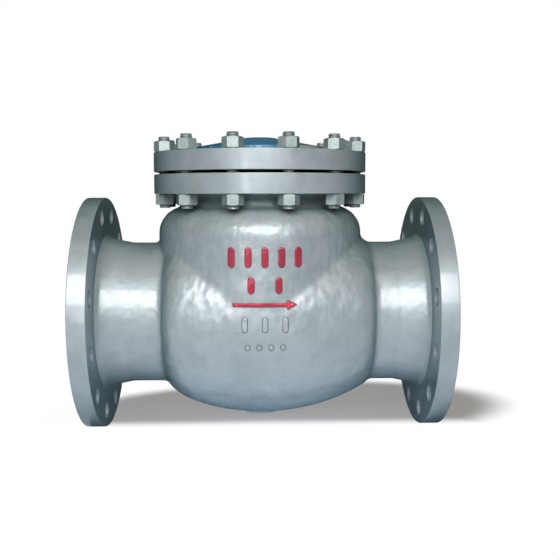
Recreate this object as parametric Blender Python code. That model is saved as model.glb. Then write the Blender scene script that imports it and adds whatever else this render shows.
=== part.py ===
"""Swing check valve, nominal bore 200 mm, with a bolted bonnet and a disc that hangs from an internal hinge.

Metres, +Z up. The flow runs along +X. The origin lies under the middle of the valve, on the plane
that the two end flanges touch. The barrel and everything bolted to it share a vertical axis that
stands a little upstream of the middle.
"""

import math

import bmesh
import bpy
from mathutils import Matrix, Vector

# End flanges and bore
FACE_TO_FACE = 0.550
BORE_RADIUS = 0.100
FLANGE_RADIUS = 0.180
FLANGE_THICKNESS = 0.027
FLANGE_CHAMFER = 0.0015
FLANGE_HOLE_RADIUS = 0.013
FLANGE_HOLE_COUNT = 12
FLANGE_HOLE_INSET = 0.025
FLANGE_BOLT_CIRCLE_RADIUS = FLANGE_RADIUS - FLANGE_HOLE_INSET
RAISED_FACE_INSET = 0.016
RAISED_FACE_RADIUS = FLANGE_BOLT_CIRCLE_RADIUS - RAISED_FACE_INSET
RAISED_FACE_HEIGHT = 0.003

# Necks between the end flanges and the bulged body
NECK_WALL = 0.0095
NECK_RADIUS = BORE_RADIUS + NECK_WALL
HUB_RISE = 0.0065
HUB_RADIUS = NECK_RADIUS + HUB_RISE
HUB_TAPER_LENGTH = 0.032
HUB_FILLET = 0.009

# Studs of the bonnet joint, and its rims; heights are above the flow axis
JOINT_RADIUS = 0.1646
JOINT_CHAMFER = 0.0015
STUD_INSET = 0.0146
STUD_CIRCLE_RADIUS = JOINT_RADIUS - STUD_INSET
STUD_COUNT = 12
STUD_RADIUS = 0.009
STUD_CLEARANCE = 0.0012
STUD_TOP_PROUD = 0.0065
STUD_FOOT_PROUD = 0.005
STUD_CHAMFER = 0.0012
BODY_RIM_BOTTOM = 0.1857
BODY_RIM_THICKNESS = 0.0294
JOINT_GAP = 0.004
GASKET_WIDTH = 0.010
GASKET_INSET = 0.001

# Cast body: a bulge along the flow, blunt towards the inlet and tapered towards the outlet, with an
# upright barrel through its upper half
WALL = 0.012
BARREL_X = -0.004
BULGE_INLET_LENGTH = 0.169
BULGE_INLET_FULLNESS = 0.24
BULGE_OUTLET_LENGTH = 0.229
BULGE_OUTLET_FULLNESS = 0.5
BULGE_SWELL = 0.0592
BULGE_RADIUS = BORE_RADIUS + BULGE_SWELL
BARREL_RADIUS = 0.158
NECK_TO_STUDS = 0.0255
TOP_NECK_RADIUS = STUD_CIRCLE_RADIUS - NECK_TO_STUDS
TOP_NECK_FILLET = 0.004
SHOULDER_START = 0.125
SHOULDER_RISE = 0.0425
SHOULDER_TUCK = 0.0105
DRAIN_PAD_RADIUS = 0.030
DRAIN_PAD_PROUD = 0.0022

# Bonnet
BONNET_RIM_THICKNESS = 0.0296
BONNET_SPIGOT_DEPTH = 0.007
BONNET_WALL = 0.014
BONNET_INNER_FILLET = 0.007
STEP_TO_STUDS = 0.046
BONNET_STEP_RADIUS = STUD_CIRCLE_RADIUS - STEP_TO_STUDS
BONNET_STEP_HEIGHT = 0.008
BONNET_CROWN_RADIUS = 0.026
BONNET_CROWN_HEIGHT = 0.0232
CROWN_EDGE_WIDTH = 0.0015
CROWN_EDGE_DROP = 0.0008

# Nuts of the bonnet joint; each stopped where it was tight, so its turn is its own, in degrees
NUT_ACROSS_FLATS = 0.027
NUT_HEIGHT = 0.0158
UPPER_NUT_TURNS = (24, 48, 32, 9, 39, 27, 37, 15, 31, 43, 20, 34)
LOWER_NUT_TURNS = (42, 22, 55, 35, 13, 50, 1, 18, 29, 30, 7, 45)
HEX_SIDES = 6
HEX_LAND_SHARE = 0.96
HEX_CHAMFER_DEGREES = 30

# Seat
SEAT_FACE_X = -0.092
SEAT_PROUD = 0.003
SEAT_DEPTH = 0.012
SEAT_RING_WIDTH = 0.011
SEAT_RING_RADIUS = BORE_RADIUS + SEAT_RING_WIDTH
SEAT_CHAMFER = 0.001
SEAT_BOSS_WALL = 0.007
SEAT_BOSS_RADIUS = SEAT_RING_RADIUS + SEAT_BOSS_WALL
SEAT_BOSS_LENGTH = 0.010

# Disc, its stud and its nut
DISC_OVERLAP = 0.009
DISC_RADIUS = BORE_RADIUS + DISC_OVERLAP
DISC_RIM_THICKNESS = 0.018
DISC_WEB_RISE = 0.004
DISC_FACE_RELIEF = 0.002
DISC_CHAMFER = 0.002
DISC_HUB_RADIUS = 0.030
DISC_HUB_HEIGHT = 0.031
DISC_HUB_FILLET = 0.006
DISC_STUD_RADIUS = 0.012
DISC_STUD_TAIL = 0.005
DISC_WASHER_RADIUS = 0.022
DISC_WASHER_THICKNESS = 0.004
DISC_NUT_ACROSS_FLATS = 0.036
DISC_NUT_HEIGHT = 0.019
CASTLE_DEPTH = 0.007
CASTLE_SLOT = 0.0056
CASTLE_SLOT_LINES = 3

# Hinge; heights are above the flow axis
HINGE_FROM_SEAT = 0.0135
HINGE_X = SEAT_FACE_X + HINGE_FROM_SEAT
HINGE_ABOVE_DISC = 0.019
HINGE_HEIGHT = DISC_RADIUS + HINGE_ABOVE_DISC
HINGE_PIN_RADIUS = 0.009
HINGE_EYE_WALL = 0.006
HINGE_EYE_RADIUS = HINGE_PIN_RADIUS + HINGE_EYE_WALL
EAR_GAP = 0.040
EAR_THICKNESS = 0.012
EAR_SETBACK = 0.001
PIN_HEAD_LIP = 0.0035
PIN_HEAD_THICKNESS = 0.004
PIN_TAIL = 0.003
CLIP_THICKNESS = 0.0015
CLIP_GROOVE_DEPTH = 0.001
CLIP_MOUTH = 0.007

# Screws that hold the hinge yoke to the seat ledge
SCREW_RADIUS = 0.006
SCREW_FROM_EAR = 0.019
SCREW_Y = EAR_GAP / 2 + EAR_THICKNESS + SCREW_FROM_EAR
SCREW_ABOVE_PIN = 0.003
SCREW_HEIGHT = HINGE_HEIGHT + SCREW_ABOVE_PIN
SCREW_REACH = 0.022
SCREW_TIP_GAP = 0.003
SCREW_ACROSS_FLATS = 0.018
SCREW_HEAD_HEIGHT = 0.0075
SCREW_WASHER_RADIUS = 0.0115
SCREW_WASHER_THICKNESS = 0.0025

# Yoke and the ledge behind it
YOKE_SIDE_MARGIN = 0.013
YOKE_HALF_WIDTH = SCREW_Y + YOKE_SIDE_MARGIN
YOKE_PLATE = 0.010
YOKE_FOOT_DROP = 0.009
YOKE_FOOT = HINGE_HEIGHT - YOKE_FOOT_DROP
YOKE_PLATE_RISE = 0.021
YOKE_PLATE_TOP = HINGE_HEIGHT + YOKE_PLATE_RISE
YOKE_BRIDGE_RISE = 0.0185
YOKE_BRIDGE_BOTTOM = HINGE_HEIGHT + YOKE_BRIDGE_RISE
YOKE_BRIDGE_THICKNESS = 0.011
YOKE_BRIDGE_REACH = 0.0165
YOKE_BRIDGE_FRONT_X = HINGE_X + YOKE_BRIDGE_REACH
LEDGE_MARGIN = 0.002
LEDGE_HALF_WIDTH = YOKE_HALF_WIDTH + LEDGE_MARGIN
LEDGE_RISE = 0.024
LEDGE_HEIGHT = HINGE_HEIGHT + LEDGE_RISE

# Split pin
SPLIT_WIRE_RADIUS = 0.001
SPLIT_EYE_RADIUS = 0.0036
SPLIT_HOLE_RADIUS = 0.0025
SPLIT_LEG_BEND = 0.005
SPLIT_LEG_REACH = 0.0025

# Hinge arm
ARM_THICKNESS = 0.0185
ARM_WIDTH = 0.034
ARM_SHOULDER_DROP = 0.020
ARM_HEEL_DROP = 0.004
ARM_ROOT_HALF = 0.005
ARM_SPREAD_DEGREES = 47
ARM_EYE_RADIUS = 0.027
ARM_EYE_THICKNESS = 0.024
ARM_ROUNDING = 0.003
ARM_ROUNDING_DEGREES = 50

# Clearances
SEAT_GAP = 0.0003
RUNNING_GAP = 0.0003
THREAD_GAP = 0.0002
SIDE_PLAY = 0.0005
SPIGOT_GAP = 0.0006
CUT_OVERRUN = 0.010
CORE_STEP = 0.0006
MERGE_DISTANCE = 1e-6

# Facets round each kind of turned piece, and along each kind of curve
BODY_SIDES = 48
CORE_SIDES = 36
PIECE_SIDES = 32
SMALL_SIDES = 16
HOLE_SIDES = 12
STUD_HOLE_SIDES = 8
BULGE_STEPS = 10
SWELLING_STEPS = 7
SHOULDER_STEPS = 5
FILLET_STEPS = 2
SMALL_ARC_STEPS = 8
SMOOTH_DEGREES = 35

FLOW_Z = FLANGE_RADIUS
AXES = {
    "X": (Vector((1, 0, 0)), Vector((0, 0, 1))),
    "Y": (Vector((0, 1, 0)), Vector((1, 0, 0))),
    "Z": (Vector((0, 0, 1)), Vector((1, 0, 0))),
}


def start_empty():
    for thing in list(bpy.data.objects):
        bpy.data.objects.remove(thing, do_unlink=True)


def finish(name, colour, roughness, metallic):
    """A plain finish of one colour."""
    material = bpy.data.materials.new(name)
    material.use_nodes = True
    shader = material.node_tree.nodes["Principled BSDF"]
    shader.inputs["Base Color"].default_value = (*colour, 1)
    shader.inputs["Roughness"].default_value = roughness
    shader.inputs["Metallic"].default_value = metallic
    material.diffuse_color = (*colour, 1)
    return material


def object_from(shape, name, material=None):
    """Turns a bmesh into an object, shaded smooth except at its sharp edges."""
    bmesh.ops.recalc_face_normals(shape, faces=shape.faces)
    mesh = bpy.data.meshes.new(name)
    shape.to_mesh(mesh)
    shape.free()
    mesh.shade_smooth()
    mesh.set_sharp_from_angle(angle=math.radians(SMOOTH_DEGREES))
    if material:
        mesh.materials.append(material)
    thing = bpy.data.objects.new(name, mesh)
    bpy.context.collection.objects.link(thing)
    return thing


def turned(name, outline, axis, centre=(0, 0, 0), sides=PIECE_SIDES, material=None):
    """A solid turned about an axis from (along, radius) points.

    The outline either starts and ends on the axis or is a ring that closes on itself.
    """
    along, out = AXES[axis]
    shape = bmesh.new()
    points = [shape.verts.new(a * along + r * out) for a, r in outline]
    pairs = list(zip(points, points[1:]))
    if outline[0][1] > 0:
        pairs.append((points[-1], points[0]))
    edges = [shape.edges.new(pair) for pair in pairs]
    bmesh.ops.spin(
        shape, geom=points + edges, cent=(0, 0, 0), axis=along, angle=math.tau, steps=sides,
        use_merge=True, use_duplicate=False,
    )
    bmesh.ops.remove_doubles(shape, verts=shape.verts, dist=MERGE_DISTANCE)
    bmesh.ops.translate(shape, verts=shape.verts, vec=Vector(centre))
    return object_from(shape, name, material)


def extruded(name, outline, low_y, high_y, material=None):
    """A slab whose side view is the outline of (x, z) points."""
    shape = bmesh.new()
    side = shape.faces.new([shape.verts.new((x, low_y, z)) for x, z in outline])
    grown = bmesh.ops.extrude_face_region(shape, geom=[side])
    moved = [item for item in grown["geom"] if isinstance(item, bmesh.types.BMVert)]
    bmesh.ops.translate(shape, verts=moved, vec=(0, high_y - low_y, 0))
    return object_from(shape, name, material)


def block(name, low, high, material=None):
    """A box between two corners."""
    outline = [(low[0], low[2]), (high[0], low[2]), (high[0], high[2]), (low[0], high[2])]
    return extruded(name, outline, low[1], high[1], material)


def rods(name, axis, places, start, end, radius, sides=HOLE_SIDES):
    """Plain round rods along one axis at each of the places, as one cutter."""
    along = AXES[axis][0]
    turn = Vector((0, 0, 1)).rotation_difference(along).to_matrix().to_4x4()
    shape = bmesh.new()
    for place in places:
        middle = Vector(place) + along * (start + end) / 2
        bmesh.ops.create_cone(
            shape, cap_ends=True, segments=sides, radius1=radius, radius2=radius,
            depth=end - start, matrix=Matrix.Translation(middle) @ turn,
        )
    return object_from(shape, name)


def circle_places(count, radius, axis, centre):
    """Places evenly round a circle, straddling its centre lines."""
    along, out = AXES[axis]
    across = along.cross(out)
    places = []
    for index in range(count):
        angle = math.tau * (index + 0.5) / count
        places.append(Vector(centre) + radius * (math.cos(angle) * out + math.sin(angle) * across))
    return places


def join(solid, other, operation):
    """Adds another shape to a solid or cuts it away; the other shape becomes a guide."""
    modifier = solid.modifiers.new(other.name, "BOOLEAN")
    modifier.operation = operation
    modifier.solver = "EXACT"
    modifier.object = other
    other.hide_render = True
    other.display_type = "WIRE"


def around(radius, gap, sides=HOLE_SIDES):
    """Radius of a many-sided hole whose flats clear a round piece by the gap."""
    return (radius + gap) / math.cos(math.pi / sides)


def bulge_shape(x):
    """Length and fullness of the bulge on the side of mid-length where x lies."""
    if x < 0:
        return BULGE_INLET_LENGTH, BULGE_INLET_FULLNESS
    return BULGE_OUTLET_LENGTH, BULGE_OUTLET_FULLNESS


def bulge_radius(x, inset=0):
    """Radius of the bulge, or of the hollow inside it; a fullness of one half is an ellipse."""
    length, fullness = bulge_shape(x)
    share = x / (length - inset)
    return (BULGE_RADIUS - inset) * max(0, 1 - share * share) ** fullness


def bulge_end(side, at_radius, inset=0):
    """Where the bulge, or the hollow inside it, has narrowed to a radius; side is -1 or 1."""
    length, fullness = bulge_shape(side)
    share = (at_radius / (BULGE_RADIUS - inset)) ** (1 / fullness)
    return side * (length - inset) * math.sqrt(1 - share)


def bulge_points(start, end, steps, inset=0):
    """(x, radius) points along the bulge, closer together towards its ends."""
    middle, half = (start + end) / 2, (end - start) / 2
    places = [middle - half * math.cos(math.pi * index / steps) for index in range(steps + 1)]
    return [(x, bulge_radius(x, inset)) for x in places]


def arc_points(centre, reach_a, reach_b, start_degrees, end_degrees, steps):
    """(a, b) points along an arc, with its own reach in each direction."""
    points = []
    for index in range(steps + 1):
        angle = math.radians(start_degrees + (end_degrees - start_degrees) * index / steps)
        points.append((centre[0] + reach_a * math.cos(angle), centre[1] + reach_b * math.sin(angle)))
    return points


def end_outline():
    """(distance from mid-length, radius) points of one end, from the flow axis to the neck."""
    face = FACE_TO_FACE / 2
    rim = face - RAISED_FACE_HEIGHT
    back = rim - FLANGE_THICKNESS
    edge = FLANGE_RADIUS - FLANGE_CHAMFER
    fillet_centre = (back - HUB_FILLET, HUB_RADIUS + HUB_FILLET)
    fillet = arc_points(fillet_centre, HUB_FILLET, HUB_FILLET, 0, -90, FILLET_STEPS)
    return [
        (face, 0),
        (face, RAISED_FACE_RADIUS),
        (rim, RAISED_FACE_RADIUS),
        (rim, edge),
        (rim - FLANGE_CHAMFER, FLANGE_RADIUS),
        (back + FLANGE_CHAMFER, FLANGE_RADIUS),
        (back, edge),
        *fillet,
        (back - HUB_FILLET - HUB_TAPER_LENGTH, NECK_RADIUS),
    ]


def flow_casting():
    """Everything turned about the flow axis: flanges, necks and the bulge."""
    end = end_outline()
    outline = [(-x, r) for x, r in end]
    outline += bulge_points(bulge_end(-1, NECK_RADIUS), bulge_end(1, NECK_RADIUS), BULGE_STEPS)
    outline += [(x, r) for x, r in reversed(end)]
    return turned("valve_body", outline, "X", (0, 0, FLOW_Z), BODY_SIDES)


def shoulder(inset):
    """(height, radius) points of the barrel's rounded shoulder, or of the core inside it."""
    rise = SHOULDER_RISE - inset
    centre = TOP_NECK_RADIUS - SHOULDER_TUCK
    reach = BARREL_RADIUS - inset - centre
    last = math.degrees(math.acos(max(SHOULDER_TUCK - inset, 0) / reach))
    return arc_points((SHOULDER_START, centre), rise, reach, 90, 90 - last, SHOULDER_STEPS)


def barrel_casting():
    """The upright barrel with its shoulder, short neck and bonnet rim."""
    rim_bottom = BODY_RIM_BOTTOM
    rim_top = rim_bottom + BODY_RIM_THICKNESS
    outline = [(0, 0), (0, BARREL_RADIUS), *shoulder(0)]
    outline += [
        (rim_bottom - TOP_NECK_FILLET, TOP_NECK_RADIUS),
        (rim_bottom, TOP_NECK_RADIUS + TOP_NECK_FILLET),
        (rim_bottom, JOINT_RADIUS - JOINT_CHAMFER),
        (rim_bottom + JOINT_CHAMFER, JOINT_RADIUS),
        (rim_top - JOINT_CHAMFER, JOINT_RADIUS),
        (rim_top, JOINT_RADIUS - JOINT_CHAMFER),
        (rim_top, 0),
    ]
    return turned("barrel_casting", outline, "Z", (BARREL_X, 0, FLOW_Z), BODY_SIDES)


def boss_face_x():
    return SEAT_FACE_X - SEAT_PROUD


def bulkhead_x():
    """The wall that carries the seat boss and the hinge."""
    return boss_face_x() - SEAT_BOSS_LENGTH


def bulkhead_radius():
    """Halfway through the bulge's wall, so that the bulkhead closes against it all round."""
    return (bulge_radius(bulkhead_x()) + bulge_radius(bulkhead_x(), WALL)) / 2


def flow_core():
    """The hollow turned about the flow axis: both bores, the seat pocket and the swelling."""
    past = FACE_TO_FACE / 2 + CUT_OVERRUN
    boss_face = boss_face_x()
    pocket = boss_face - SEAT_DEPTH - SEAT_GAP
    back_wall = bulkhead_x() - CORE_STEP
    swelling = bulge_points(back_wall, bulge_end(1, BORE_RADIUS, WALL), SWELLING_STEPS, WALL)
    outline = [
        (-past, 0),
        (-past, BORE_RADIUS),
        (pocket, BORE_RADIUS),
        (pocket, SEAT_RING_RADIUS + SEAT_GAP),
        (boss_face, SEAT_RING_RADIUS + SEAT_GAP),
        (boss_face, SEAT_BOSS_RADIUS),
        (back_wall, SEAT_BOSS_RADIUS),
        *swelling,
        (past, BORE_RADIUS),
        (past, 0),
    ]
    return turned("flow_core", outline, "X", (0, 0, FLOW_Z), CORE_SIDES)


def barrel_core():
    """The upright hollow under the bonnet, which leaves the seat boss and the hinge ledge standing.

    It stops a core step short of what the flow core has already shaped.
    """
    top = BODY_RIM_BOTTOM + BODY_RIM_THICKNESS + CUT_OVERRUN
    opening = TOP_NECK_RADIUS - WALL
    outline = [(0, 0), (0, BARREL_RADIUS - WALL), *shoulder(WALL), (top, opening), (top, 0)]
    core = turned("barrel_core", outline, "Z", (BARREL_X, 0, FLOW_Z), CORE_SIDES)
    wall = bulkhead_x()
    far = BARREL_X - BARREL_RADIUS - CUT_OVERRUN
    boss_face = boss_face_x() + CORE_STEP
    boss_radius = SEAT_BOSS_RADIUS + CORE_STEP
    edge = bulkhead_radius()
    standing = [(far, 0), (far, edge), (wall, edge), (wall, boss_radius), (boss_face, boss_radius),
                (boss_face, 0)]
    boss = turned("seat_boss", standing, "X", (0, 0, FLOW_Z), CORE_SIDES)
    ledge = block("hinge_ledge", (far, -LEDGE_HALF_WIDTH, FLOW_Z + SEAT_BOSS_RADIUS - WALL),
                  (wall, LEDGE_HALF_WIDTH, FLOW_Z + LEDGE_HEIGHT))
    join(core, boss, "DIFFERENCE")
    join(core, ledge, "DIFFERENCE")
    return core


def screw_places():
    """Where the yoke screws enter the ledge, on its upright face."""
    height = FLOW_Z + SCREW_HEIGHT
    return [(bulkhead_x(), -SCREW_Y, height), (bulkhead_x(), SCREW_Y, height)]


def stud_places():
    return circle_places(STUD_COUNT, STUD_CIRCLE_RADIUS, "Z", (BARREL_X, 0, FLOW_Z))


def valve_body(material):
    """The body casting: the outside, less its cores, then drilled."""
    body = flow_casting()
    body.data.materials.append(material)
    join(body, barrel_casting(), "UNION")
    pad_bottom = -BULGE_RADIUS - DRAIN_PAD_PROUD
    pad = turned("drain_pad", [(pad_bottom, 0), (pad_bottom, DRAIN_PAD_RADIUS),
                               (WALL - BULGE_RADIUS, DRAIN_PAD_RADIUS), (WALL - BULGE_RADIUS, 0)],
                 "Z", (BARREL_X, 0, FLOW_Z), SMALL_SIDES)
    join(body, pad, "UNION")
    join(body, flow_core(), "DIFFERENCE")
    join(body, barrel_core(), "DIFFERENCE")

    face = FACE_TO_FACE / 2
    inner = face - RAISED_FACE_HEIGHT - FLANGE_THICKNESS
    flange_places = circle_places(FLANGE_HOLE_COUNT, FLANGE_BOLT_CIRCLE_RADIUS, "X", (0, 0, FLOW_Z))
    drill_end = face + CUT_OVERRUN
    drill_start = inner - CUT_OVERRUN
    for name, start, end in (
        ("outlet_flange_holes", drill_start, drill_end),
        ("inlet_flange_holes", -drill_end, -drill_start),
    ):
        join(body, rods(name, "X", flange_places, start, end, FLANGE_HOLE_RADIUS), "DIFFERENCE")

    rim_top = BODY_RIM_BOTTOM + BODY_RIM_THICKNESS
    stud_holes = rods("body_stud_holes", "Z", stud_places(), BODY_RIM_BOTTOM - CUT_OVERRUN,
                      rim_top + CUT_OVERRUN, STUD_RADIUS + STUD_CLEARANCE, STUD_HOLE_SIDES)
    join(body, stud_holes, "DIFFERENCE")
    screw_holes = rods("ledge_screw_holes", "X", screw_places(), -SCREW_REACH - SCREW_TIP_GAP,
                       CUT_OVERRUN, around(SCREW_RADIUS, THREAD_GAP))
    join(body, screw_holes, "DIFFERENCE")
    return body


def seat_ring(material):
    """The renewable seat, let into the boss and standing a little proud of it."""
    back = boss_face_x() - SEAT_DEPTH
    outline = [
        (back, BORE_RADIUS),
        (back, SEAT_RING_RADIUS - SEAT_CHAMFER),
        (back + SEAT_CHAMFER, SEAT_RING_RADIUS),
        (SEAT_FACE_X - SEAT_CHAMFER, SEAT_RING_RADIUS),
        (SEAT_FACE_X, SEAT_RING_RADIUS - SEAT_CHAMFER),
        (SEAT_FACE_X, BORE_RADIUS),
    ]
    return turned("seat_ring", outline, "X", (0, 0, FLOW_Z), CORE_SIDES, material)


def bonnet_base():
    """Height of the bonnet rim's underside above the flow axis."""
    return BODY_RIM_BOTTOM + BODY_RIM_THICKNESS + JOINT_GAP


def bonnet(material):
    """The cover: a bolted rim, a spigot that centres it and a low cone with a flat crown."""
    base = bonnet_base()
    top = base + BONNET_RIM_THICKNESS
    step = top + BONNET_STEP_HEIGHT
    crown = top + BONNET_CROWN_HEIGHT
    spigot = TOP_NECK_RADIUS - WALL - SPIGOT_GAP
    spigot_inside = spigot - BONNET_WALL
    outline = [
        (crown - BONNET_WALL, 0),
        (crown - BONNET_WALL, BONNET_CROWN_RADIUS),
        (step - BONNET_WALL, spigot_inside - BONNET_INNER_FILLET),
        (step - BONNET_WALL - BONNET_INNER_FILLET, spigot_inside),
        (base - BONNET_SPIGOT_DEPTH, spigot_inside),
        (base - BONNET_SPIGOT_DEPTH, spigot - JOINT_CHAMFER),
        (base - BONNET_SPIGOT_DEPTH + JOINT_CHAMFER, spigot),
        (base, spigot),
        (base, JOINT_RADIUS - JOINT_CHAMFER),
        (base + JOINT_CHAMFER, JOINT_RADIUS),
        (top - JOINT_CHAMFER, JOINT_RADIUS),
        (top, JOINT_RADIUS - JOINT_CHAMFER),
        (top, BONNET_STEP_RADIUS + JOINT_CHAMFER),
        (step - JOINT_CHAMFER, BONNET_STEP_RADIUS),
        (step, BONNET_STEP_RADIUS - JOINT_CHAMFER),
        (crown - CROWN_EDGE_DROP, BONNET_CROWN_RADIUS),
        (crown, BONNET_CROWN_RADIUS - CROWN_EDGE_WIDTH),
        (crown, 0),
    ]
    cover = turned("bonnet", outline, "Z", (BARREL_X, 0, FLOW_Z), BODY_SIDES, material)
    holes = rods("bonnet_stud_holes", "Z", stud_places(), base - CUT_OVERRUN, top + CUT_OVERRUN,
                 STUD_RADIUS + STUD_CLEARANCE, STUD_HOLE_SIDES)
    join(cover, holes, "DIFFERENCE")
    return cover


def bonnet_gasket(material):
    """The flat ring squeezed between the two rims, inside the studs."""
    inner = TOP_NECK_RADIUS - WALL + GASKET_INSET
    low = bonnet_base() - JOINT_GAP + SEAT_GAP
    high = bonnet_base() - SEAT_GAP
    outer = inner + GASKET_WIDTH
    outline = [(low, inner), (low, outer), (high, outer), (high, inner)]
    return turned("bonnet_gasket", outline, "Z", (BARREL_X, 0, FLOW_Z), PIECE_SIDES, material)


def stud_mesh(material):
    """One stud, threaded all along, with its foot at height 0."""
    length = STUD_FOOT_PROUD + NUT_HEIGHT + SEAT_GAP + BODY_RIM_THICKNESS + JOINT_GAP
    length += BONNET_RIM_THICKNESS + SEAT_GAP + NUT_HEIGHT + STUD_TOP_PROUD
    tip = STUD_RADIUS - STUD_CHAMFER
    outline = [(0, 0), (0, tip), (STUD_CHAMFER, STUD_RADIUS), (length - STUD_CHAMFER, STUD_RADIUS),
               (length, tip), (length, 0)]
    pattern = turned("stud_pattern", outline, "Z", sides=HOLE_SIDES, material=material)
    return taken_mesh(pattern)


def taken_mesh(pattern):
    """Keeps a pattern's mesh and drops its object."""
    mesh = pattern.data
    bpy.data.objects.remove(pattern)
    return mesh


def hex_nut(name, across_flats, height, hole_radius, material):
    """A hexagon nut about Z, its flat seating face at height 0 and its chamfered face above."""
    corner = across_flats / math.sqrt(3)
    flat = across_flats / 2
    land = flat * HEX_LAND_SHARE
    slope = math.tan(math.radians(HEX_CHAMFER_DEGREES))
    sides = 2 * HEX_SIDES
    angles = [math.tau * index / sides for index in range(sides)]
    reaches = [flat if index % 2 == 0 else corner for index in range(sides)]
    drops = [slope * (reach - land) for reach in reaches]
    shape = bmesh.new()

    def ring(radii, heights):
        return [shape.verts.new((radius * math.cos(angle), radius * math.sin(angle), z))
                for angle, radius, z in zip(angles, radii, heights)]

    rings = [
        ring([hole_radius] * sides, [0] * sides),
        ring(reaches, [0] * sides),
        ring(reaches, [height - drop for drop in drops]),
        ring([land] * sides, [height] * sides),
        ring([hole_radius] * sides, [height] * sides),
    ]
    for lower, upper in zip(rings, rings[1:] + rings[:1]):
        for index in range(sides):
            after = (index + 1) % sides
            shape.faces.new((lower[index], lower[after], upper[after], upper[index]))
    return object_from(shape, name, material)


def placed(name, mesh, place, turn_degrees=0, over_degrees=0):
    """An object that shows a shared mesh at a place, tipped over about X and then turned about Z."""
    thing = bpy.data.objects.new(name, mesh)
    thing.location = place
    thing.rotation_euler = (math.radians(over_degrees), 0, math.radians(turn_degrees))
    bpy.context.collection.objects.link(thing)
    return thing


def joint_fasteners(stud_finish, nut_finish):
    """A stud at each place round the bonnet joint, with a nut above and a nut below."""
    stud = stud_mesh(stud_finish)
    hole = around(STUD_RADIUS, THREAD_GAP)
    nut = taken_mesh(hex_nut("nut_pattern", NUT_ACROSS_FLATS, NUT_HEIGHT, hole, nut_finish))
    foot = Vector((0, 0, BODY_RIM_BOTTOM - SEAT_GAP - NUT_HEIGHT - STUD_FOOT_PROUD))
    upper = Vector((0, 0, bonnet_base() + BONNET_RIM_THICKNESS + SEAT_GAP))
    lower = Vector((0, 0, BODY_RIM_BOTTOM - SEAT_GAP))
    for index, place in enumerate(stud_places()):
        number = f"{index + 1:02d}"
        placed(f"bonnet_stud_{number}", stud, place + foot)
        placed(f"upper_nut_{number}", nut, place + upper, UPPER_NUT_TURNS[index % len(UPPER_NUT_TURNS)])
        placed(f"lower_nut_{number}", nut, place + lower, LOWER_NUT_TURNS[index % len(LOWER_NUT_TURNS)], 180)


def hinge_bracket(material):
    """The yoke: two feet on the ledge, two ears for the pin and a bridge that stops the arm."""
    back = bulkhead_x() + SEAT_GAP
    front = back + YOKE_PLATE
    pin_z = FLOW_Z + HINGE_HEIGHT
    bridge_low = FLOW_Z + YOKE_BRIDGE_BOTTOM
    bridge_high = bridge_low + YOKE_BRIDGE_THICKNESS
    inner = EAR_GAP / 2
    outer = inner + EAR_THICKNESS
    overlap = EAR_THICKNESS / 2

    eye = arc_points((HINGE_X, pin_z), HINGE_EYE_RADIUS, HINGE_EYE_RADIUS, -135, 45, SMALL_ARC_STEPS)
    ear_back = back + EAR_SETBACK
    ear_front = YOKE_BRIDGE_FRONT_X - EAR_SETBACK
    ear_top = bridge_high - EAR_SETBACK
    ear = [(ear_back, FLOW_Z + YOKE_FOOT + EAR_SETBACK), *eye, (ear_front, bridge_low + EAR_SETBACK),
           (ear_front, ear_top), (ear_back, ear_top)]
    yoke = block("hinge_bracket", (back, -outer, bridge_low), (YOKE_BRIDGE_FRONT_X, outer, bridge_high),
                 material)
    for side, label in ((-1, "left"), (1, "right")):
        low, high = sorted((side * inner, side * outer))
        join(yoke, extruded(f"{label}_ear", ear, low, high), "UNION")
        low, high = sorted((side * (inner + overlap), side * YOKE_HALF_WIDTH))
        foot = block(f"{label}_foot", (back, low, FLOW_Z + YOKE_FOOT),
                     (front, high, FLOW_Z + YOKE_PLATE_TOP))
        join(yoke, foot, "UNION")
    pin_hole = rods("yoke_pin_hole", "Y", [(HINGE_X, 0, pin_z)], -outer - CUT_OVERRUN,
                    outer + CUT_OVERRUN, around(HINGE_PIN_RADIUS, SEAT_GAP, SMALL_SIDES), SMALL_SIDES)
    join(yoke, pin_hole, "DIFFERENCE")
    screw_holes = rods("yoke_screw_holes", "X", screw_places(), -CUT_OVERRUN, YOKE_PLATE + CUT_OVERRUN,
                       around(SCREW_RADIUS, THREAD_GAP))
    join(yoke, screw_holes, "DIFFERENCE")
    return yoke


def hinge_pin(material):
    """The pin, with a head at one side and a groove for its clip at the other."""
    outer = EAR_GAP / 2 + EAR_THICKNESS
    head = -outer - SEAT_GAP
    groove = outer + SEAT_GAP
    tail = groove + CLIP_THICKNESS + 2 * SEAT_GAP + PIN_TAIL
    radius = HINGE_PIN_RADIUS
    bottom = radius - CLIP_GROOVE_DEPTH
    groove_end = groove + CLIP_THICKNESS + 2 * SEAT_GAP
    outline = [
        (head - PIN_HEAD_THICKNESS, 0),
        (head - PIN_HEAD_THICKNESS, radius + PIN_HEAD_LIP),
        (head, radius + PIN_HEAD_LIP),
        (head, radius),
        (groove - SEAT_GAP, radius),
        (groove - SEAT_GAP, bottom),
        (groove_end, bottom),
        (groove_end, radius),
        (tail - CLIP_GROOVE_DEPTH, radius),
        (tail, bottom),
        (tail, 0),
    ]
    return turned("hinge_pin", outline, "Y", (HINGE_X, 0, FLOW_Z + HINGE_HEIGHT), SMALL_SIDES, material)


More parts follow.
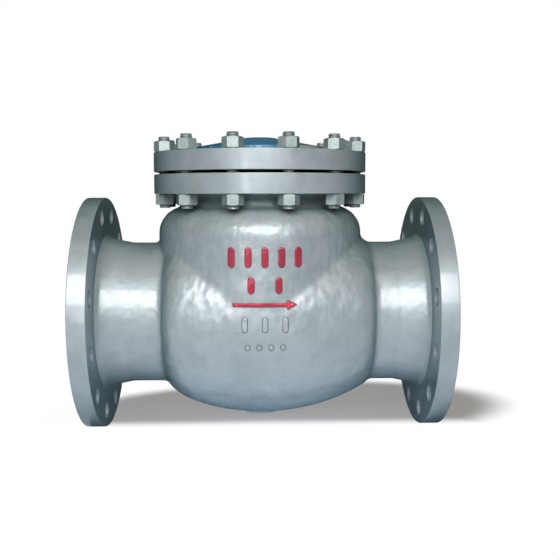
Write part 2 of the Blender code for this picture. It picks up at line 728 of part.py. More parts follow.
def pin_clip(material):
    """The open spring ring in the pin's groove."""
    start = EAR_GAP / 2 + EAR_THICKNESS + SEAT_GAP
    end = start + CLIP_THICKNESS
    inner = around(HINGE_PIN_RADIUS - CLIP_GROOVE_DEPTH, SEAT_GAP, SMALL_SIDES)
    outer = HINGE_PIN_RADIUS + PIN_HEAD_LIP
    outline = [(start, inner), (start, outer), (end, outer), (end, inner)]
    centre_z = FLOW_Z + HINGE_HEIGHT
    clip = turned("hinge_pin_clip", outline, "Y", (HINGE_X, 0, centre_z), SMALL_SIDES, material)
    mouth = block("clip_mouth", (HINGE_X - CLIP_MOUTH / 2, start - CUT_OVERRUN, centre_z),
                  (HINGE_X + CLIP_MOUTH / 2, end + CUT_OVERRUN, centre_z + outer + CUT_OVERRUN))
    join(clip, mouth, "DIFFERENCE")
    return clip


def yoke_screws(material, washer_material):
    """Two hexagon screws with plain washers, which hold the yoke's feet to the ledge."""
    washer_start = SEAT_GAP + YOKE_PLATE + SEAT_GAP
    head_start = washer_start + SCREW_WASHER_THICKNESS + SEAT_GAP
    head_end = head_start + SCREW_HEAD_HEIGHT
    corner = SCREW_ACROSS_FLATS / math.sqrt(3)
    land = SCREW_ACROSS_FLATS / 2 * HEX_LAND_SHARE
    past = corner + STUD_CHAMFER
    slope = math.tan(math.radians(HEX_CHAMFER_DEGREES))
    hole = around(SCREW_RADIUS, THREAD_GAP)
    for (x, y, z), label in zip(screw_places(), ("left", "right")):
        outline = [(-SCREW_REACH, 0), (-SCREW_REACH, SCREW_RADIUS - STUD_CHAMFER),
                   (STUD_CHAMFER - SCREW_REACH, SCREW_RADIUS), (head_start + STUD_CHAMFER, SCREW_RADIUS),
                   (head_start + STUD_CHAMFER, 0)]
        screw = turned(f"bracket_bolt_{label}", outline, "X", (x, y, z), HOLE_SIDES, material)
        head_outline = [(head_start, 0), (head_start, corner), (head_end, corner), (head_end, 0)]
        head = turned(f"{label}_screw_head", head_outline, "X", (x, y, z), HEX_SIDES)
        crown_outline = [(head_start - CUT_OVERRUN, 0), (head_start - CUT_OVERRUN, past),
                         (head_end - (past - land) * slope, past), (head_end, land), (head_end, 0)]
        crown = turned(f"{label}_screw_crown", crown_outline, "X", (x, y, z), SMALL_SIDES)
        join(head, crown, "INTERSECT")
        join(screw, head, "UNION")
        washer = [(washer_start, hole), (washer_start, SCREW_WASHER_RADIUS),
                  (washer_start + SCREW_WASHER_THICKNESS, SCREW_WASHER_RADIUS),
                  (washer_start + SCREW_WASHER_THICKNESS, hole)]
        turned(f"bracket_washer_{label}", washer, "X", (x, y, z), SMALL_SIDES, washer_material)


def disc_face_x():
    return SEAT_FACE_X + SEAT_GAP


def arm_back_x():
    """The side of the arm's eye that faces the disc."""
    return disc_face_x() + DISC_HUB_HEIGHT + RUNNING_GAP


def disc_washer_x():
    return arm_back_x() + ARM_EYE_THICKNESS + RUNNING_GAP


def disc_nut_x():
    return disc_washer_x() + DISC_WASHER_THICKNESS + SEAT_GAP


def disc(material):
    """The closing disc with its hub and stud, turned from one piece."""
    face = disc_face_x()
    rim = face + DISC_RIM_THICKNESS
    hub = face + DISC_HUB_HEIGHT
    stud_end = disc_nut_x() + DISC_NUT_HEIGHT + DISC_STUD_TAIL
    seat_inside = BORE_RADIUS - DISC_FACE_RELIEF
    fillet_centre = (rim + DISC_WEB_RISE + DISC_HUB_FILLET, DISC_HUB_RADIUS + DISC_HUB_FILLET)
    hub_fillet = arc_points(fillet_centre, DISC_HUB_FILLET, DISC_HUB_FILLET, 180, 270, FILLET_STEPS)
    outline = [
        (face + DISC_FACE_RELIEF, 0),
        (face + DISC_FACE_RELIEF, seat_inside - DISC_FACE_RELIEF),
        (face, seat_inside),
        (face, DISC_RADIUS - DISC_CHAMFER),
        (face + DISC_CHAMFER, DISC_RADIUS),
        (rim - DISC_CHAMFER, DISC_RADIUS),
        (rim, DISC_RADIUS - DISC_CHAMFER),
        *hub_fillet,
        (hub - DISC_CHAMFER, DISC_HUB_RADIUS),
        (hub, DISC_HUB_RADIUS - DISC_CHAMFER),
        (hub, DISC_STUD_RADIUS),
        (stud_end - STUD_CHAMFER, DISC_STUD_RADIUS),
        (stud_end, DISC_STUD_RADIUS - STUD_CHAMFER),
        (stud_end, 0),
    ]
    closer = turned("disc", outline, "X", (0, 0, FLOW_Z), PIECE_SIDES, material)
    hole = rods("stud_cross_hole", "Y", [(split_pin_x(), 0, FLOW_Z)], -DISC_STUD_RADIUS - CUT_OVERRUN,
                DISC_STUD_RADIUS + CUT_OVERRUN, SPLIT_HOLE_RADIUS)
    join(closer, hole, "DIFFERENCE")
    return closer


def split_pin_x():
    """The split pin lies low in the castle nut's slots."""
    slot_floor = disc_nut_x() + DISC_NUT_HEIGHT - CASTLE_DEPTH
    return slot_floor + SPLIT_HOLE_RADIUS + SEAT_GAP


def disc_washer(material):
    start = disc_washer_x()
    end = start + DISC_WASHER_THICKNESS
    inner = around(DISC_STUD_RADIUS, THREAD_GAP, SMALL_SIDES)
    outline = [(start, inner), (start, DISC_WASHER_RADIUS), (end, DISC_WASHER_RADIUS), (end, inner)]
    return turned("disc_washer", outline, "X", (0, 0, FLOW_Z), SMALL_SIDES, material)


def disc_nut(material):
    """A castle nut whose slots take the split pin."""
    hole = around(DISC_STUD_RADIUS, THREAD_GAP)
    nut = hex_nut("disc_nut", DISC_NUT_ACROSS_FLATS, DISC_NUT_HEIGHT, hole, material)
    along_flow = Matrix.Rotation(math.radians(90), 4, "Y")
    nut.data.transform(Matrix.Translation((disc_nut_x(), 0, FLOW_Z)) @ along_flow)
    top = disc_nut_x() + DISC_NUT_HEIGHT
    reach = DISC_NUT_ACROSS_FLATS
    for index in range(CASTLE_SLOT_LINES):
        slot = block(f"castle_slot_{index + 1}", (top - CASTLE_DEPTH, -reach, -CASTLE_SLOT / 2),
                     (top + CUT_OVERRUN, reach, CASTLE_SLOT / 2))
        spin = Matrix.Rotation(math.pi * index / CASTLE_SLOT_LINES, 4, "X")
        slot.data.transform(Matrix.Translation((0, 0, FLOW_Z)) @ spin)
        join(nut, slot, "DIFFERENCE")
    return nut


def split_pin(material):
    """A wire folded on itself, with an eye at one end and its legs spread at the other."""
    leg = SPLIT_WIRE_RADIUS + SEAT_GAP / 2
    reach = DISC_NUT_ACROSS_FLATS / math.sqrt(3)
    eye_centre = -reach - SPLIT_EYE_RADIUS
    x = split_pin_x()
    open_angle = math.degrees(math.asin(leg / SPLIT_EYE_RADIUS))
    upper_leg = [(reach + SPLIT_LEG_REACH, leg + SPLIT_LEG_BEND),
                 (reach + SPLIT_WIRE_RADIUS, leg + SPLIT_WIRE_RADIUS), (reach - SPLIT_WIRE_RADIUS, leg)]
    eye = arc_points((eye_centre, 0), SPLIT_EYE_RADIUS, SPLIT_EYE_RADIUS, open_angle,
                     360 - open_angle, SMALL_ARC_STEPS)
    path = upper_leg + eye + [(y, -z) for y, z in reversed(upper_leg)]
    curve = bpy.data.curves.new("split_pin", "CURVE")
    curve.dimensions = "3D"
    curve.bevel_depth = SPLIT_WIRE_RADIUS
    curve.bevel_resolution = 1
    curve.use_fill_caps = True
    spline = curve.splines.new("POLY")
    spline.points.add(len(path) - 1)
    for point, (y, z) in zip(spline.points, path):
        point.co = (x, y, FLOW_Z + z, 1)
    curve.materials.append(material)
    pin = bpy.data.objects.new("split_pin", curve)
    bpy.context.collection.objects.link(pin)
    return pin


def hinge_arm(material):
    """The forged arm: a hub on the hinge pin, a bar past the disc and an eye for its stud."""
    pin_z = FLOW_Z + HINGE_HEIGHT
    back = arm_back_x()
    front = back + ARM_THICKNESS
    hub = HINGE_EYE_RADIUS
    near = hub * math.sin(math.radians(ARM_SPREAD_DEGREES))
    shoulder_z = pin_z - ARM_SHOULDER_DROP
    side = [
        (HINGE_X, pin_z - ARM_ROOT_HALF),
        (HINGE_X + near, pin_z - near),
        (back, shoulder_z - ARM_HEEL_DROP),
        (back, FLOW_Z),
        (front, FLOW_Z),
        (front, shoulder_z),
        (HINGE_X + near, pin_z + near),
        (HINGE_X, pin_z + ARM_ROOT_HALF),
    ]
    arm = extruded("hinge_arm", side, -ARM_WIDTH / 2, ARM_WIDTH / 2, material)
    soften = arm.modifiers.new("forged_edges", "BEVEL")
    soften.width = ARM_ROUNDING
    soften.segments = FILLET_STEPS
    soften.limit_method = "ANGLE"
    soften.angle_limit = math.radians(ARM_ROUNDING_DEGREES)

    half = EAR_GAP / 2 - SIDE_PLAY
    hub_outline = [(-half, 0), (-half, hub), (half, hub), (half, 0)]
    hub_part = turned("arm_hub", hub_outline, "Y", (HINGE_X, 0, pin_z), SMALL_SIDES)
    join(arm, hub_part, "UNION")
    eye_outline = [(back, 0), (back, ARM_EYE_RADIUS), (back + ARM_EYE_THICKNESS, ARM_EYE_RADIUS),
                   (back + ARM_EYE_THICKNESS, 0)]
    join(arm, turned("arm_eye", eye_outline, "X", (0, 0, FLOW_Z), SMALL_SIDES), "UNION")
    pin_hole = rods("arm_pin_hole", "Y", [(HINGE_X, 0, pin_z)], -half - CUT_OVERRUN,
                    half + CUT_OVERRUN, around(HINGE_PIN_RADIUS, RUNNING_GAP, SMALL_SIDES), SMALL_SIDES)
    join(arm, pin_hole, "DIFFERENCE")
    stud_hole = rods("arm_stud_hole", "X", [(0, 0, FLOW_Z)], back - CUT_OVERRUN,
                     back + ARM_EYE_THICKNESS + CUT_OVERRUN,
                     around(DISC_STUD_RADIUS, RUNNING_GAP, SMALL_SIDES), SMALL_SIDES)
    join(arm, stud_hole, "DIFFERENCE")
    return arm


def build():
    start_empty()
    paint = finish("silver_paint", (0.42, 0.48, 0.50), 0.35, 0.3)
    plated = finish("plated_nut", (0.55, 0.57, 0.57), 0.35, 0.9)
    oiled = finish("oiled_stud", (0.10, 0.11, 0.11), 0.45, 0.8)
    fibre = finish("gasket_fibre", (0.03, 0.03, 0.035), 0.9, 0.0)
    stainless = finish("stainless_seat", (0.62, 0.62, 0.60), 0.25, 1.0)
    forged = finish("forged_steel", (0.25, 0.26, 0.27), 0.5, 0.8)

    valve_body(paint)
    seat_ring(stainless)
    bonnet(paint)
    bonnet_gasket(fibre)
    joint_fasteners(oiled, plated)
    hinge_bracket(forged)
    hinge_pin(stainless)
    pin_clip(stainless)
    yoke_screws(stainless, stainless)
    hinge_arm(forged)
    disc(stainless)
    disc_washer(stainless)
    disc_nut(stainless)
    split_pin(stainless)


build()
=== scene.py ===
# %% [markdown]
# # Dressing a swing check valve
# The valve's solids come from the imported part. This lesson gives them their finished surfaces:
# a thick-walled casting under brushed aluminium paint, a flat bonnet held by twelve studs, and the
# steel pieces that hang inside. It runs in Blender 4.5 and can be read cell by cell.
#
# The first cell loads the imported part. Every piece made later rides on one of its bodies.

import math

import bmesh
import bpy
import numpy as np
from mathutils import Matrix, Vector, noise
from mathutils.bvhtree import BVHTree


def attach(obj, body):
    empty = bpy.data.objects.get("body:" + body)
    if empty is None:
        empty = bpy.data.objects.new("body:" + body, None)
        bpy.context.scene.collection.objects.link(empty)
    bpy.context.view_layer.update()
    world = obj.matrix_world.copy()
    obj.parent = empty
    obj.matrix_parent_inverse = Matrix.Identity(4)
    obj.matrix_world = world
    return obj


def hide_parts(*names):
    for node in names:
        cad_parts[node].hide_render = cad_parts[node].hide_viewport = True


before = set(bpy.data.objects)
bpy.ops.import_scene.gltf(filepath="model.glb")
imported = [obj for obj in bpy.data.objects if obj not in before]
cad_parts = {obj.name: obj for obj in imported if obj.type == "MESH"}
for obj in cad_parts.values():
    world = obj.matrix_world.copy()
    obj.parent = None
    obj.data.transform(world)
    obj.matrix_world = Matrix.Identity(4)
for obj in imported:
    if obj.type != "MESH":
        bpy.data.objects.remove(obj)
scene = bpy.context.scene
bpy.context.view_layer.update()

# %% [markdown]
# ## Camera
# The picture was taken from a little above the bore, almost square on, with the lens tipped down
# by six degrees. A camera in Blender looks along its own -Z axis, so it is built here from the
# direction that it looks in: right, up and backwards make the three columns of its matrix.

# %% Camera
CAMERA_PLACE = Vector((-0.0144, -1.2553, 0.3667))
CAMERA_YAW = math.radians(1.896)
CAMERA_PITCH = math.radians(6.263)
CAMERA_ROLL = math.radians(-0.096)
CAMERA_LENS = 50.9

forward = Vector((
    math.sin(CAMERA_YAW) * math.cos(CAMERA_PITCH),
    math.cos(CAMERA_YAW) * math.cos(CAMERA_PITCH),
    -math.sin(CAMERA_PITCH),
))
level = Vector((math.cos(CAMERA_YAW), -math.sin(CAMERA_YAW), 0))
upward = level.cross(forward)
right = level * math.cos(CAMERA_ROLL) + upward * math.sin(CAMERA_ROLL)
upward = right.cross(forward)

camera_data = bpy.data.cameras.new("camera")
camera_data.lens = CAMERA_LENS
camera_data.sensor_width = 36
camera = bpy.data.objects.new("camera", camera_data)
turn = Matrix((right, upward, -forward)).transposed()
camera.matrix_world = Matrix.Translation(CAMERA_PLACE) @ turn.to_4x4()
scene.collection.objects.link(camera)
scene.camera = camera
print("camera at", tuple(round(value, 3) for value in CAMERA_PLACE))

# %% [markdown]
# ## Short helpers for objects and nodes
# A bmesh is Blender's mesh for editing, and it becomes an object once its shape is done. A material
# is a tree of nodes, and each node takes several lines to add, set and link. One function for each
# kind of node, which returns the node's output, lets a recipe be read like a formula. The same few
# functions make the ground, the paints and the metals.

# %% Helpers for objects and nodes
def plain_object(shape, name):
    """An object with a bmesh as its mesh; the bmesh goes."""
    mesh = bpy.data.meshes.new(name)
    shape.to_mesh(mesh)
    shape.free()
    thing = bpy.data.objects.new(name, mesh)
    scene.collection.objects.link(thing)
    return thing


def new_material(name):
    """A material with its shader and a set of Object coordinates."""
    material = bpy.data.materials.new(name)
    material.use_nodes = True
    tree = material.node_tree
    coordinates = tree.nodes.new("ShaderNodeTexCoord")
    return material, tree, tree.nodes["Principled BSDF"], coordinates.outputs["Object"]


def feed(tree, socket, value):
    """Gives a socket a number, a colour or the output of another node."""
    if isinstance(value, tuple):
        socket.default_value = (*value, 1)
    elif isinstance(value, (int, float)):
        socket.default_value = value
    else:
        tree.links.new(value, socket)


def maths(tree, operation, first, second=0.0, third=0.0):
    node = tree.nodes.new("ShaderNodeMath")
    node.operation = operation
    for socket, value in zip(node.inputs, (first, second, third)):
        feed(tree, socket, value)
    return node.outputs[0]


def weighted(tree, *terms):
    """The sum of outputs, each times its own weight."""
    total = 0.0
    for output, weight in terms:
        total = maths(tree, "MULTIPLY_ADD", output, weight, total)
    return total


def remapped(tree, value, low, high, to_low=0.0, to_high=1.0):
    """A value taken smoothly from one range to another, and held at its ends."""
    node = tree.nodes.new("ShaderNodeMapRange")
    node.interpolation_type = "SMOOTHSTEP"
    tree.links.new(value, node.inputs["Value"])
    for label, number in (("From Min", low), ("From Max", high), ("To Min", to_low), ("To Max", to_high)):
        node.inputs[label].default_value = number
    return node.outputs["Result"]


def mixed(tree, factor, first, second, blend="MIX"):
    """A colour between two others, or their product where blend is MULTIPLY."""
    node = tree.nodes.new("ShaderNodeMix")
    node.data_type = "RGBA"
    node.blend_type = blend
    tree.links.new(factor, node.inputs["Factor"])
    for index, value in ((6, first), (7, second)):
        feed(tree, node.inputs[index], value)
    return node.outputs[2]


def mixed_shader(tree, factor, first, second):
    node = tree.nodes.new("ShaderNodeMixShader")
    for socket, source in zip(node.inputs, (factor, first, second)):
        tree.links.new(source, socket)
    return node.outputs[0]


def mapped(tree, vector, place=(0, 0, 0), turn=(0, 0, 0), scale=(1, 1, 1), kind="POINT"):
    """A vector scaled, turned by degrees and moved; TEXTURE does the reverse."""
    node = tree.nodes.new("ShaderNodeMapping")
    node.vector_type = kind
    node.inputs["Location"].default_value = place
    node.inputs["Rotation"].default_value = [math.radians(angle) for angle in turn]
    node.inputs["Scale"].default_value = scale
    tree.links.new(vector, node.inputs["Vector"])
    return node.outputs["Vector"]


def split_up(tree, vector):
    """The X, Y and Z of a vector."""
    node = tree.nodes.new("ShaderNodeSeparateXYZ")
    tree.links.new(vector, node.inputs[0])
    return node.outputs


# %% [markdown]
# ## Floor and backdrop
# A product picture has a white ground that still keeps the shadow. Making the lamps stronger would
# bleach the paint. So the floor is a shaded surface only in a pool round the valve, where it also
# adds a little light of its own towards the camera. Beyond the pool the camera sees plain white.
# The pool is a turned ellipse with a soft edge, and a second soft edge runs straight across in
# front of it. Light Path tells a ray from the camera from one that lights the valve, which meets a
# darker floor and a faint fill.

# %% Floor and backdrop
scene.view_settings.view_transform = "Standard"

FLOOR_SIZE = 40
FLOOR_SEEN = (0.68, 0.665, 0.655)
FLOOR_UNSEEN = (0.30, 0.34, 0.38)
FLOOR_ROUGHNESS = 0.9
FLOOR_SHINE = 0.1
GLOW_COLOUR = (1.0, 0.94, 0.90)
GLOW_STRENGTH = 0.28
POOL_CENTRE = (0.035, 0.066)
POOL_REACH = (0.350, 0.176)
POOL_TURN = 8
POOL_FADE = (0.94, 1.22)
POOL_FRONT = (0.010, -0.038)
FILL_COLOUR = (0.72, 1.0, 0.97)
FILL_STRENGTH = 0.03
MIRRORED_STRENGTH = 0.06
WHITE = (1, 1, 1)


def outside_pool(tree, place):
    """0 in the pool of shaded floor round the valve and 1 outside it."""
    in_pool = mapped(tree, place, (*POOL_CENTRE, 0), (0, 0, POOL_TURN), (*POOL_REACH, 1), "TEXTURE")
    distance = tree.nodes.new("ShaderNodeVectorMath")
    distance.operation = "LENGTH"
    tree.links.new(in_pool, distance.inputs[0])
    far = remapped(tree, distance.outputs["Value"], *POOL_FADE)
    in_front = remapped(tree, split_up(tree, place)["Y"], *POOL_FRONT)
    return maths(tree, "MAXIMUM", far, in_front)


def stage_floor():
    shape = bmesh.new()
    bmesh.ops.create_grid(shape, x_segments=1, y_segments=1, size=FLOOR_SIZE / 2)
    floor = plain_object(shape, "floor")
    material, tree, shader, place = new_material("pale_floor")
    seen = tree.nodes.new("ShaderNodeLightPath").outputs["Is Camera Ray"]
    feed(tree, shader.inputs["Base Color"], mixed(tree, seen, FLOOR_UNSEEN, FLOOR_SEEN))
    feed(tree, shader.inputs["Roughness"], FLOOR_ROUGHNESS)
    feed(tree, shader.inputs["Specular IOR Level"], FLOOR_SHINE)
    feed(tree, shader.inputs["Emission Color"], GLOW_COLOUR)
    feed(tree, shader.inputs["Emission Strength"], maths(tree, "MULTIPLY", seen, GLOW_STRENGTH))
    white = tree.nodes.new("ShaderNodeEmission")
    feed(tree, white.inputs["Color"], WHITE)
    beyond = maths(tree, "MULTIPLY", outside_pool(tree, place), seen)
    ground = mixed_shader(tree, beyond, shader.outputs[0], white.outputs[0])
    tree.links.new(ground, tree.nodes["Material Output"].inputs["Surface"])
    floor.data.materials.append(material)
    return floor


def sky(tree, colour, strength):
    node = tree.nodes.new("ShaderNodeBackground")
    feed(tree, node.inputs["Color"], colour)
    feed(tree, node.inputs["Strength"], strength)
    return node.outputs[0]


def white_world():
    """White to the camera and through glass, and a faint fill for all else."""
    world = bpy.data.worlds.new("white_ground")
    world.use_nodes = True
    tree = world.node_tree
    tree.nodes.remove(tree.nodes["Background"])
    path = tree.nodes.new("ShaderNodeLightPath").outputs
    fill = mixed_shader(tree, path["Is Glossy Ray"], sky(tree, FILL_COLOUR, FILL_STRENGTH),
                        sky(tree, FILL_COLOUR, MIRRORED_STRENGTH))
    seen = maths(tree, "MAXIMUM", path["Is Camera Ray"], path["Is Transmission Ray"])
    surface = mixed_shader(tree, seen, fill, sky(tree, WHITE, 1))
    tree.links.new(surface, tree.nodes["World Output"].inputs["Surface"])
    return world


FLOOR = stage_floor()
scene.world = white_world()
print("ground", FLOOR.name, scene.world.name)

# %% [markdown]
# ## Lamps
# The paint is lit by one large soft box in front. A narrow strip beside it draws the upright streak
# on the bonnet's rim, and three weaker boxes serve the sides and the back. Two bluish lamps that
# lie on the floor stand for the light it throws back: a wide one, and a bright one under the front
# of the belly. Lamps would draw squares on the glossy paint where none shows in the picture, so
# some are kept out of reflections. Light linking keeps the boxes off the floor, which has a lamp of
# its own, high at the left: so the valve's shadow lies to the right, as it does in the picture.

# %% Lamps
LAMP_TARGET = Vector((0, 0, 0.2))
BOUNCE_HEIGHT = 0.001


def area_lamp(name, size, energy, colour=WHITE, mirrored=True):
    data = bpy.data.lights.new(name, "AREA")
    data.shape = "RECTANGLE"
    data.size, data.size_y = size
    data.energy = energy
    data.color = colour
    lamp = bpy.data.objects.new(name, data)
    lamp.visible_glossy = mirrored
    scene.collection.objects.link(lamp)
    return lamp


def soft_box(name, azimuth, elevation, distance, size, level, lights_floor=False, mirrored=True):
    """A lamp aimed at the valve; azimuth 0 stands in front. At level 1 it lights a surface that
    faces it so that its colour renders as it is written."""
    a, e = math.radians(azimuth), math.radians(elevation)
    back = Vector((math.sin(a) * math.cos(e), -math.cos(a) * math.cos(e), math.sin(e)))
    lamp = area_lamp(name, size, level * (math.pi * distance) ** 2, mirrored=mirrored)
    lamp.location = LAMP_TARGET + back * distance
    lamp.rotation_mode = "QUATERNION"
    lamp.rotation_quaternion = (-back).to_track_quat("-Z", "Y")
    reach = bpy.data.collections.new(f"{name}_reach")
    reach.objects.link(FLOOR)
    if not lights_floor:
        reach.collection_objects[0].light_linking.link_state = "EXCLUDE"
    lamp.light_linking.receiver_collection = reach


def floor_bounce(name, centre, size, level, colour):
    """Light that comes back up from the floor; at level 1 the floor would be as bright as white."""
    lamp = area_lamp(name, size, level * math.pi * size[0] * size[1], colour, mirrored=False)
    lamp.location = (*centre, BOUNCE_HEIGHT)
    lamp.rotation_euler = (math.pi, 0, 0)


floor_bounce("wide_bounce", (0, 0), (1.7, 1.1), 0.42, (0.74, 0.84, 1.0))
floor_bounce("near_bounce", (0.015, -0.09), (0.38, 0.20), 1.05, (0.78, 0.80, 1.0))
soft_box("high_box", -2, 28, 2.3, (1.85, 1.15), 0.97)
soft_box("strip", -15, 3, 2.2, (0.26, 0.40), 0.03)
for side in (-1, 1):
    soft_box("side_box", side * 125, 30, 2.3, (1.0, 1.0), 0.16, mirrored=False)
soft_box("back_box", 180, 40, 2.3, (1.2, 1.0), 0.45, mirrored=False)
soft_box("floor_box", -46, 62, 2.6, (0.28, 0.28), 1.2, lights_floor=True)

# %% [markdown]
# ## Shapes turned on an axis
# Almost everything on a valve was turned on a lathe or cast round a turned pattern. A bmesh can do
# the same: the outline is drawn as a few vertices and joined by edges, and the spin operator sweeps
# it once round. A full spin is given use_merge, so that the last step closes on the first. Holes
# and joins are Booleans, and bevels round what a cutter would leave sharp. A finished piece is
# shaded smooth up to an angle, gets its material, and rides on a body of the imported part.

# %% Helpers for turned and cut shapes
AXES = {
    "X": (Vector((1, 0, 0)), Vector((0, 0, 1))),
    "Y": (Vector((0, 1, 0)), Vector((1, 0, 0))),
    "Z": (Vector((0, 0, 1)), Vector((1, 0, 0))),
}
MERGE = 1e-6


def turned(outline, axis, centre=(0, 0, 0), steps=96):
    """A closed bmesh from (along, radius) points spun once round the axis."""
    along, out = AXES[axis]
    shape = bmesh.new()
    points = [shape.verts.new(a * along + r * out) for a, r in outline]
    pairs = list(zip(points, points[1:]))
    if outline[0][1] > 0:
        pairs.append((points[-1], points[0]))
    edges = [shape.edges.new(pair) for pair in pairs]
    bmesh.ops.spin(shape, geom=points + edges, cent=(0, 0, 0), axis=along, angle=math.tau, steps=steps,
                   use_merge=True)
    bmesh.ops.remove_doubles(shape, verts=shape.verts, dist=MERGE)
    bmesh.ops.recalc_face_normals(shape, faces=shape.faces)
    bmesh.ops.translate(shape, verts=shape.verts, vec=Vector(centre))
    return shape


def extruded(outline, low_y, high_y):
    """A closed bmesh whose side view is the outline of (x, z) points."""
    shape = bmesh.new()
    side = shape.faces.new([shape.verts.new((x, low_y, z)) for x, z in outline])
    grown = bmesh.ops.extrude_face_region(shape, geom=[side])
    moved = [item for item in grown["geom"] if isinstance(item, bmesh.types.BMVert)]
    bmesh.ops.translate(shape, verts=moved, vec=(0, high_y - low_y, 0))
    bmesh.ops.recalc_face_normals(shape, faces=shape.faces)
    return shape


def block(low, high):
    """A box between two corners."""
    return extruded([(low[0], low[2]), (high[0], low[2]), (high[0], high[2]), (low[0], high[2])],
                    low[1], high[1])


def rods(axis, places, start, end, radius, sides=32):
    """Round rods along one axis, one at each place."""
    along = AXES[axis][0]
    turn = Vector((0, 0, 1)).rotation_difference(along).to_matrix().to_4x4()
    shape = bmesh.new()
    for place in places:
        middle = Vector(place) + along * (start + end) / 2
        bmesh.ops.create_cone(shape, cap_ends=True, segments=sides, radius1=radius, radius2=radius,
                              depth=end - start, matrix=Matrix.Translation(middle) @ turn)
    return shape


def soften(shape, width, segments=3, degrees=30):
    """Rounds every edge whose faces meet at more than the given angle."""
    edges = [edge for edge in shape.edges
             if len(edge.link_faces) == 2 and edge.calc_face_angle(0) > math.radians(degrees)]
    bmesh.ops.bevel(shape, geom=edges, offset=width, offset_type="OFFSET", segments=segments,
                    profile=0.5, affect="EDGES", clamp_overlap=True, material=-1)
    return shape


def arc(centre, reach_a, reach_b, start, end, steps):
    """(a, b) points along an arc from one angle to another, in degrees."""
    angles = [math.radians(start + (end - start) * index / steps) for index in range(steps + 1)]
    return [(centre[0] + reach_a * math.cos(angle), centre[1] + reach_b * math.sin(angle))
            for angle in angles]


def ring(start, end, inner, outer):
    """Outline of a turned ring, or of a plain disc where the inner radius is 0."""
    return [(start, inner), (start, outer), (end, outer), (end, inner)]


def taken(thing):
    """An object's mesh as a bmesh; the object goes."""
    shape = bmesh.new()
    shape.from_mesh(thing.data)
    bpy.data.objects.remove(thing)
    return shape


def settle(thing):
    """Writes an object's modifiers into its mesh."""
    bpy.context.view_layer.update()
    graph = bpy.context.evaluated_depsgraph_get()
    mesh = bpy.data.meshes.new_from_object(thing.evaluated_get(graph))
    thing.modifiers.clear()
    thing.data = mesh
    return thing


def combine(solid, shape, operation, coplanar=False):
    """Joins a bmesh to a solid object or cuts it away. Where the two have faces in one plane, the
    solver is steady only when it looks for crossings within each mesh as well."""
    other = plain_object(shape, "tool")
    modifier = solid.modifiers.new("combine", "BOOLEAN")
    modifier.operation = operation
    modifier.solver = "EXACT"
    modifier.use_self = coplanar
    modifier.object = other
    settle(solid)
    bpy.data.objects.remove(other)
    return solid


def circle_places(count, radius, axis, centre):
    """Places spaced evenly round a circle, half a step off its start."""
    along, out = AXES[axis]
    across = along.cross(out)
    angles = [math.tau * (index + 0.5) / count for index in range(count)]
    return [Vector(centre) + radius * (math.cos(a) * out + math.sin(a) * across) for a in angles]


def present(thing, material, body, replaced=(), smooth_degrees=35):
    """Shades a finished piece, gives it its material and lets it ride."""
    thing.data.shade_smooth()
    thing.data.set_sharp_from_angle(angle=math.radians(smooth_degrees))
    flatter = thing.modifiers.new("flat_faces_first", "WEIGHTED_NORMAL")
    flatter.keep_sharp = True
    if material and not thing.data.materials:
        thing.data.materials.append(material)
    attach(thing, body)
    if replaced:
        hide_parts(*replaced)
    print(f"{thing.name}: {len(thing.data.polygons)} faces")
    return thing


def piece(shape, name, material, body, replaced=(), smooth_degrees=35):
    """A bmesh made into a finished piece."""
    return present(plain_object(shape, name), material, body, replaced, smooth_degrees)


# %% [markdown]
# ## Two node groups for the finishes
# The valve wears brushed aluminium paint: a grey film with a clear gloss on top, laid on rough
# sand-cast iron. What several finishes share is a node group with named inputs. One group makes the
# film of a brush coat: slow changes of tone, faint strokes, dull stretches in the gloss and the
# lumps of the casting under it. The other makes machined or drawn metal. Both put out only colours
# and values, and each material keeps its own shader.

# %% The brush coat and the metal grain
def noise_node(tree, vector, scale, detail=2.0, roughness=0.5):
    node = tree.nodes.new("ShaderNodeTexNoise")
    for label, value in (("Vector", vector), ("Scale", scale), ("Detail", detail), ("Roughness", roughness)):
        feed(tree, node.inputs[label], value)
    return node.outputs["Fac"]


def new_group(name, inputs, outputs):
    """A shader node group with a vector input, and a colour or number for each value given."""
    group = bpy.data.node_groups.new(name, "ShaderNodeTree")
    group.interface.new_socket("Vector", in_out="INPUT", socket_type="NodeSocketVector")
    for label, value in inputs.items():
        kind = "NodeSocketColor" if isinstance(value, tuple) else "NodeSocketFloat"
        feed(group, group.interface.new_socket(label, in_out="INPUT", socket_type=kind), value)
    for label in outputs:
        kind = "NodeSocketColor" if label == "Color" else "NodeSocketFloat"
        group.interface.new_socket(label, in_out="OUTPUT", socket_type=kind)
    given = group.nodes.new("NodeGroupInput")
    out = group.nodes.new("NodeGroupOutput")
    return group, given.outputs, out.inputs


